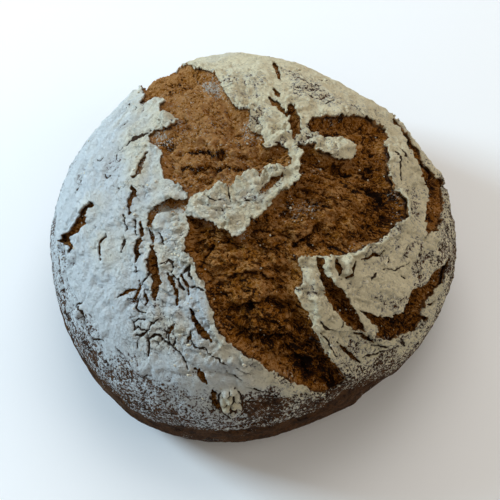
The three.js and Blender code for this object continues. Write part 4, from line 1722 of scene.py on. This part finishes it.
@dataclass(frozen=True)
class BakedCrust:
    """Brown crust, torn or smooth."""

    pale: Colour = (0.425, 0.212, 0.076, 1.0)
    brown: Colour = (0.240, 0.084, 0.005, 1.0)
    dark: Colour = (0.058, 0.017, 0.002, 1.0)
    burnt: Colour = (0.012, 0.005, 0.002, 1.0)
    side: Colour = (0.115, 0.052, 0.021, 1.0)
    side_dark: Colour = (0.022, 0.011, 0.007, 1.0)
    rim: Colour = (0.190, 0.090, 0.026, 1.0)
    haze: Colour = (0.210, 0.180, 0.165, 1.0)
    flour: Colour = (0.52, 0.51, 0.46, 1.0)
    roughness: float = 0.8
    gloss: float = 0.06

    def torn_colour(self, recipe: Recipe, pits: Socket, strands: Socket) -> Socket:
        """Colour of torn crust, from its bake_and_shade value, painted shade in its hollows, painted light on
        its crests and fine mottling.

        Args:
            recipe: The material.
            pits: Marks for painted shade in pits and fissures.
            strands: Marks for painted highlights on strands.

        Returns:
            The colour.
        """
        pits = recipe.math("MULTIPLY", pits, recipe.step(recipe.value("bake_and_shade"), 0.0, 0.45, 0.65, 1.0))
        heat = recipe.total(
            (recipe.value("bake_and_shade"), 1.0),
            # Painted shade and painted light: darker in the hollows of the relief, lighter on its crests.
            (recipe.value("crest"), -0.28),
            # Painted shade in the pits and fissures, and painted highlights on the strands.
            (pits, 0.8),
            (strands, -0.7),
            (recipe.noise(4.0, 2.0, 0.6), 0.8),
            (recipe.noise(1.1, 3.0, 0.8), 2.6),
        )
        warm = recipe.blend(recipe.step(heat, -0.1, 0.4), self.pale, self.brown)
        deep = recipe.blend(recipe.step(heat, 0.4, 0.85), warm, self.dark)
        return recipe.blend(recipe.step(heat, 0.85, 1.3), deep, self.burnt)

    def marks(self, recipe: Recipe) -> tuple[Socket, Socket]:
        """Crisp marks of torn crust: 1 in pits and fissures, for painted shade, and 1 on strands, for painted
        highlights.

        Args:
            recipe: The material.

        Returns:
            The marks for painted shade and those for painted highlights.
        """
        strand = recipe.stored_place("strand")
        pits = recipe.step(recipe.noise(2.2, 4.0, 0.65, strand), 0.035, 0.085)
        pits = recipe.math("MULTIPLY", pits, recipe.step(recipe.noise(8.0, 2.0), -0.12, 0.06, 0.35, 1.0))
        some = recipe.step(recipe.noise(6.0, 3.0), -0.02, 0.05)
        fissures = recipe.math("MULTIPLY", recipe.cracks(5.0, 0.4, strand), some)
        broad = recipe.step(recipe.line(5.5, 3.0, 0.55), 0.0, 0.026, 1.0, 0.0)
        thin = recipe.step(recipe.line(2.8, 3.0, 0.6, strand), 0.0, 0.022, 0.8, 0.0)
        return recipe.math("MAXIMUM", pits, fissures), recipe.math("MAXIMUM", broad, thin)

    def side_colour(self, recipe: Recipe) -> Socket:
        """Colour of the smooth baked skin without flour.

        Args:
            recipe: The material.

        Returns:
            The colour.
        """
        mottle = recipe.total((recipe.noise(6.0, 6.0, 0.65), 2.2), (recipe.noise(1.3, 4.0, 0.7), 2.2))
        colour = recipe.blend(recipe.step(mottle, -0.5, 0.6), self.side, self.side_dark)
        streak = recipe.noise(2.5, 5.0, 0.7, recipe.stored_place("spun"))
        haze = recipe.total((recipe.value("haze"), 0.9), (streak, 2.0))
        return recipe.blend(recipe.step(haze, 0.2, 1.0, 0.0, 0.6), colour, self.haze)

    def make(self) -> bpy.types.Material:
        """Makes the finish of the bare crust."""
        recipe = Recipe("bare_rye_crust")
        pits, strands = self.marks(recipe)
        torn = self.torn_colour(recipe, pits, strands)
        colour = recipe.blend(recipe.value("torn"), self.side_colour(recipe), torn)
        vein = recipe.step(recipe.line(3.2, 3.0, 0.65), 0.0, 0.05, 0.25, -0.15)
        dusting = recipe.total((recipe.value("dust"), 1.0), (recipe.noise(0.9, 3.0, 0.7), 1.6), (vein, 1.0))
        colour = recipe.blend(recipe.step(dusting, 0.45, 0.7, 0.0, 0.9), colour, self.flour)
        relief = recipe.total((pits, -0.6), (strands, 0.3), (recipe.noise(2.2, 5.0, 0.75), 2.2))
        recipe.dry(colour, self.roughness, self.gloss, recipe.bump(relief, 1.0, 1.0))
        return recipe.material


@dataclass(frozen=True)
class BakedFlour:
    """Dry flour baked on to brown skin."""

    # The painted light tint blends these two, together with the flour's own colour.
    cool: Colour = (0.65, 0.70, 0.725, 1.0)
    cream: Colour = (0.83, 0.745, 0.52, 1.0)
    soiled: Colour = (0.22, 0.19, 0.15, 1.0)
    grey: Colour = (0.34, 0.345, 0.36, 1.0)
    gap: Colour = (0.060, 0.036, 0.022, 1.0)
    roughness: float = 0.95
    gloss: float = 0.15

    def powder(self, recipe: Recipe, thick: Socket) -> Socket:
        """Colour of flour, greyer where it is thin.

        Args:
            recipe: The material.
            thick: How thick the flour lies, thin below 0.3 or so.

        Returns:
            The colour.
        """
        full = recipe.blend(recipe.value("light_tint_and_tone"), self.cool, self.cream)
        speckle = recipe.total((recipe.noise(1.1, 3.0, 0.75), 1.0), (recipe.noise(4.0, 3.0, 0.6), 0.5))
        speckle = recipe.step(speckle, -0.02, -0.2, 0.0, 1.0)
        speckle = recipe.math("MULTIPLY", speckle, recipe.step(recipe.value("light_tint_and_tone"), 0.1, 0.9, 0.12, 0.5))
        return recipe.blend(recipe.step(thick, 0.0, 1.1), self.grey, recipe.blend(speckle, full, self.soiled))

    def make(self, crust: BakedCrust) -> bpy.types.Material:
        """Makes the finish of the floured skin.

        Args:
            crust: Finish of the crust that shows where flour is missing.

        Returns:
            The material.
        """
        recipe = Recipe("baked_on_flour")
        grain = recipe.noise(1.2, 4.0, 0.75)
        patch = recipe.noise(3.4, 6.0, 0.72)
        streak = recipe.noise(2.2, 5.0, 0.7, recipe.stored_place("spun"))
        gaps = recipe.math("MULTIPLY", recipe.cracks(4.6, 0.42), recipe.value("chap"))
        gaps = recipe.math("MULTIPLY", gaps, recipe.step(patch, -0.06, 0.12))
        pebbles = recipe.math("MULTIPLY", recipe.cracks(2.6, 0.5), recipe.value("lumpy"))
        fleck = recipe.math("MULTIPLY", grain, recipe.step(recipe.value("flour"), 0.5, 1.15, 1.0, 0.0))
        thick = recipe.total(
            (fleck, 4.5),
            (recipe.value("flour"), 1.0),
            (patch, 1.8),
            (grain, 4.2),
            (streak, 1.8),
            (gaps, -0.5),
            (pebbles, -0.6),
        )
        powder = self.powder(recipe, thick)
        colour = recipe.blend(recipe.step(thick, 0.22, 0.36), crust.side_colour(recipe), powder)
        split = recipe.step(recipe.total((recipe.value("split"), 1.0), (grain, 0.8)), 0.3, 0.6)
        colour = recipe.blend(recipe.math("MAXIMUM", gaps, split), colour, self.gap)
        rim = recipe.step(recipe.total((recipe.value("rim"), 1.0), (patch, 2.4)), 0.4, 0.6)
        edge = recipe.blend(recipe.step(recipe.noise(7.0, 3.0), -0.1, 0.1), crust.rim, crust.pale)
        colour = recipe.blend(rim, colour, edge)
        surface = recipe.total((patch, 1.0), (gaps, -0.4), (streak, 0.8), (pebbles, -0.25))
        relief = recipe.bump(grain, 1.1, 1.0, recipe.bump(surface, 2.2, 1.0))
        recipe.dry(colour, self.roughness, self.gloss, relief)
        return recipe.material

    def make_loose(self) -> bpy.types.Material:
        """Makes the finish of loose flour."""
        recipe = Recipe("loose_flour")
        grain = recipe.noise(0.6, 4.0, 0.7)
        colour = recipe.blend(recipe.step(grain, -0.15, 0.15), self.grey, self.cream)
        recipe.dry(colour, self.roughness, self.gloss, recipe.bump(grain, 0.3, 0.6))
        return recipe.material


# ---- Stage ----


@dataclass(frozen=True)
class SoftLight:
    """Square area light that looks at the loaf. Its place and size are in metres."""

    name: str
    place: tuple[float, float, float]
    size: float
    power: float
    colour: tuple[float, float, float]

    def add(self, target: tuple[float, float, float]) -> None:
        """Adds the light, turned to the target.

        Args:
            target: Point that the light faces, in metres.
        """
        data = bpy.data.lights.new(self.name, "AREA")
        data.size = self.size
        data.energy = self.power
        data.color = self.colour
        lamp = bpy.data.objects.new(self.name, data)
        bpy.context.collection.objects.link(lamp)
        lamp.location = self.place
        x, y, z = np.array(self.place) - np.array(target)
        lamp.rotation_euler = (math.atan2(math.hypot(x, y), z), 0.0, math.atan2(x, -y))


@dataclass
class Studio:
    """Floor, lights, sky and camera. The floor's size and the light's target are in metres."""

    sheet: Sheet
    floor_size: float = 6.0
    floor_colour: Colour = (0.91, 0.93, 0.965, 1.0)
    floor_roughness: float = 0.9
    sky: Colour = (1.0, 0.94, 0.84, 1.0)
    sky_strength: float = 0.30
    target: tuple[float, float, float] = (0.0, 0.0, 0.03)
    lights: tuple[SoftLight, ...] = (
        SoftLight("window", (-1.23, 0.43, 0.62), 0.4, 23.0, (0.64, 0.85, 1.0)),
        SoftLight("ceiling", (0.1, 0.9, 1.2), 1.2, 9.5, (1.0, 0.95, 0.89)),
        SoftLight("room", (1.3, -0.2, 0.7), 1.0, 4.8, (1.0, 0.89, 0.74)),
    )

    def build(self) -> None:
        """Adds everything."""
        self._floor()
        for light in self.lights:
            light.add(self.target)
        self._sky()
        self._camera()
        bpy.context.scene.view_settings.view_transform = "Standard"

    def _floor(self) -> None:
        """Adds the plain floor."""
        bpy.ops.object.select_all(action="DESELECT")
        bpy.ops.mesh.primitive_plane_add(size=self.floor_size, location=(0.0, 0.0, 0.0))
        floor = bpy.context.view_layer.objects.active
        floor.name = "floor"
        recipe = Recipe("plain_floor")
        recipe.shader.inputs["Base Color"].default_value = self.floor_colour
        recipe.shader.inputs["Roughness"].default_value = self.floor_roughness
        floor.data.materials.append(recipe.material)

    def _sky(self) -> None:
        """Sets the soft light from all round."""
        world = bpy.data.worlds.new("sky")
        world.use_nodes = True
        background = world.node_tree.nodes["Background"]
        background.inputs["Color"].default_value = self.sky
        background.inputs["Strength"].default_value = self.sky_strength
        bpy.context.scene.world = world

    def _camera(self) -> None:
        """Adds the camera at the sheet's eye."""
        data = bpy.data.cameras.new("camera")
        data.sensor_width = 36.0
        data.lens = data.sensor_width * self.sheet.distance / self.sheet.width
        camera = bpy.data.objects.new("camera", data)
        bpy.context.collection.objects.link(camera)
        camera.location = self.sheet.eye * MM
        camera.rotation_euler = (math.radians(90.0 - self.sheet.elevation), 0.0, 0.0)
        bpy.context.scene.camera = camera


def keep(piece: bpy.types.Object, slot: Slot, material: bpy.types.Material) -> None:
    """Dresses a piece and ties it to the loaf.

    Args:
        piece: The finished piece.
        slot: Material slot; not used.
        material: Its finish.
    """
    piece.data.materials.clear()
    piece.data.materials.append(material)
    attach(piece, "root")
    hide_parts("loaf")
    LOG.info("%s: %d triangles", piece.name, triangle_count(piece))


def main() -> None:
    """Builds the pieces in order."""
    logging.basicConfig(level=logging.INFO, format="%(message)s")
    sheet = Sheet()
    crust_map = CrustMap(LoafForm(), sheet)
    crust = BakedCrust()
    flour = BakedFlour()
    keep(RyeBody(crust_map).build(), Slot.CRUST, crust.make())
    keep(FlourCrust(crust_map).build(), Slot.FLOUR, flour.make(crust))
    bits = FlourScatter(
        crust_map, "flour_bits", bits_wanted, lambda crust: crust.body()["height"],
        seed=41, tries=260000, count=420, divisions=1, radii=(0.14, 0.6), flatness=0.65,
    )
    lumps = FlourScatter(
        crust_map, "flour_lumps", lumps_wanted, lambda crust: crust.skin + crust.flour()["cake"],
        seed=43, tries=120000, count=400, divisions=2, radii=(0.3, 0.9), flatness=0.5,
    )
    loose = flour.make_loose()
    keep(bits.build(), Slot.FLOUR, loose)
    keep(lumps.build(), Slot.FLOUR, loose)
    Studio(sheet).build()


if __name__ == "__main__":
    main()
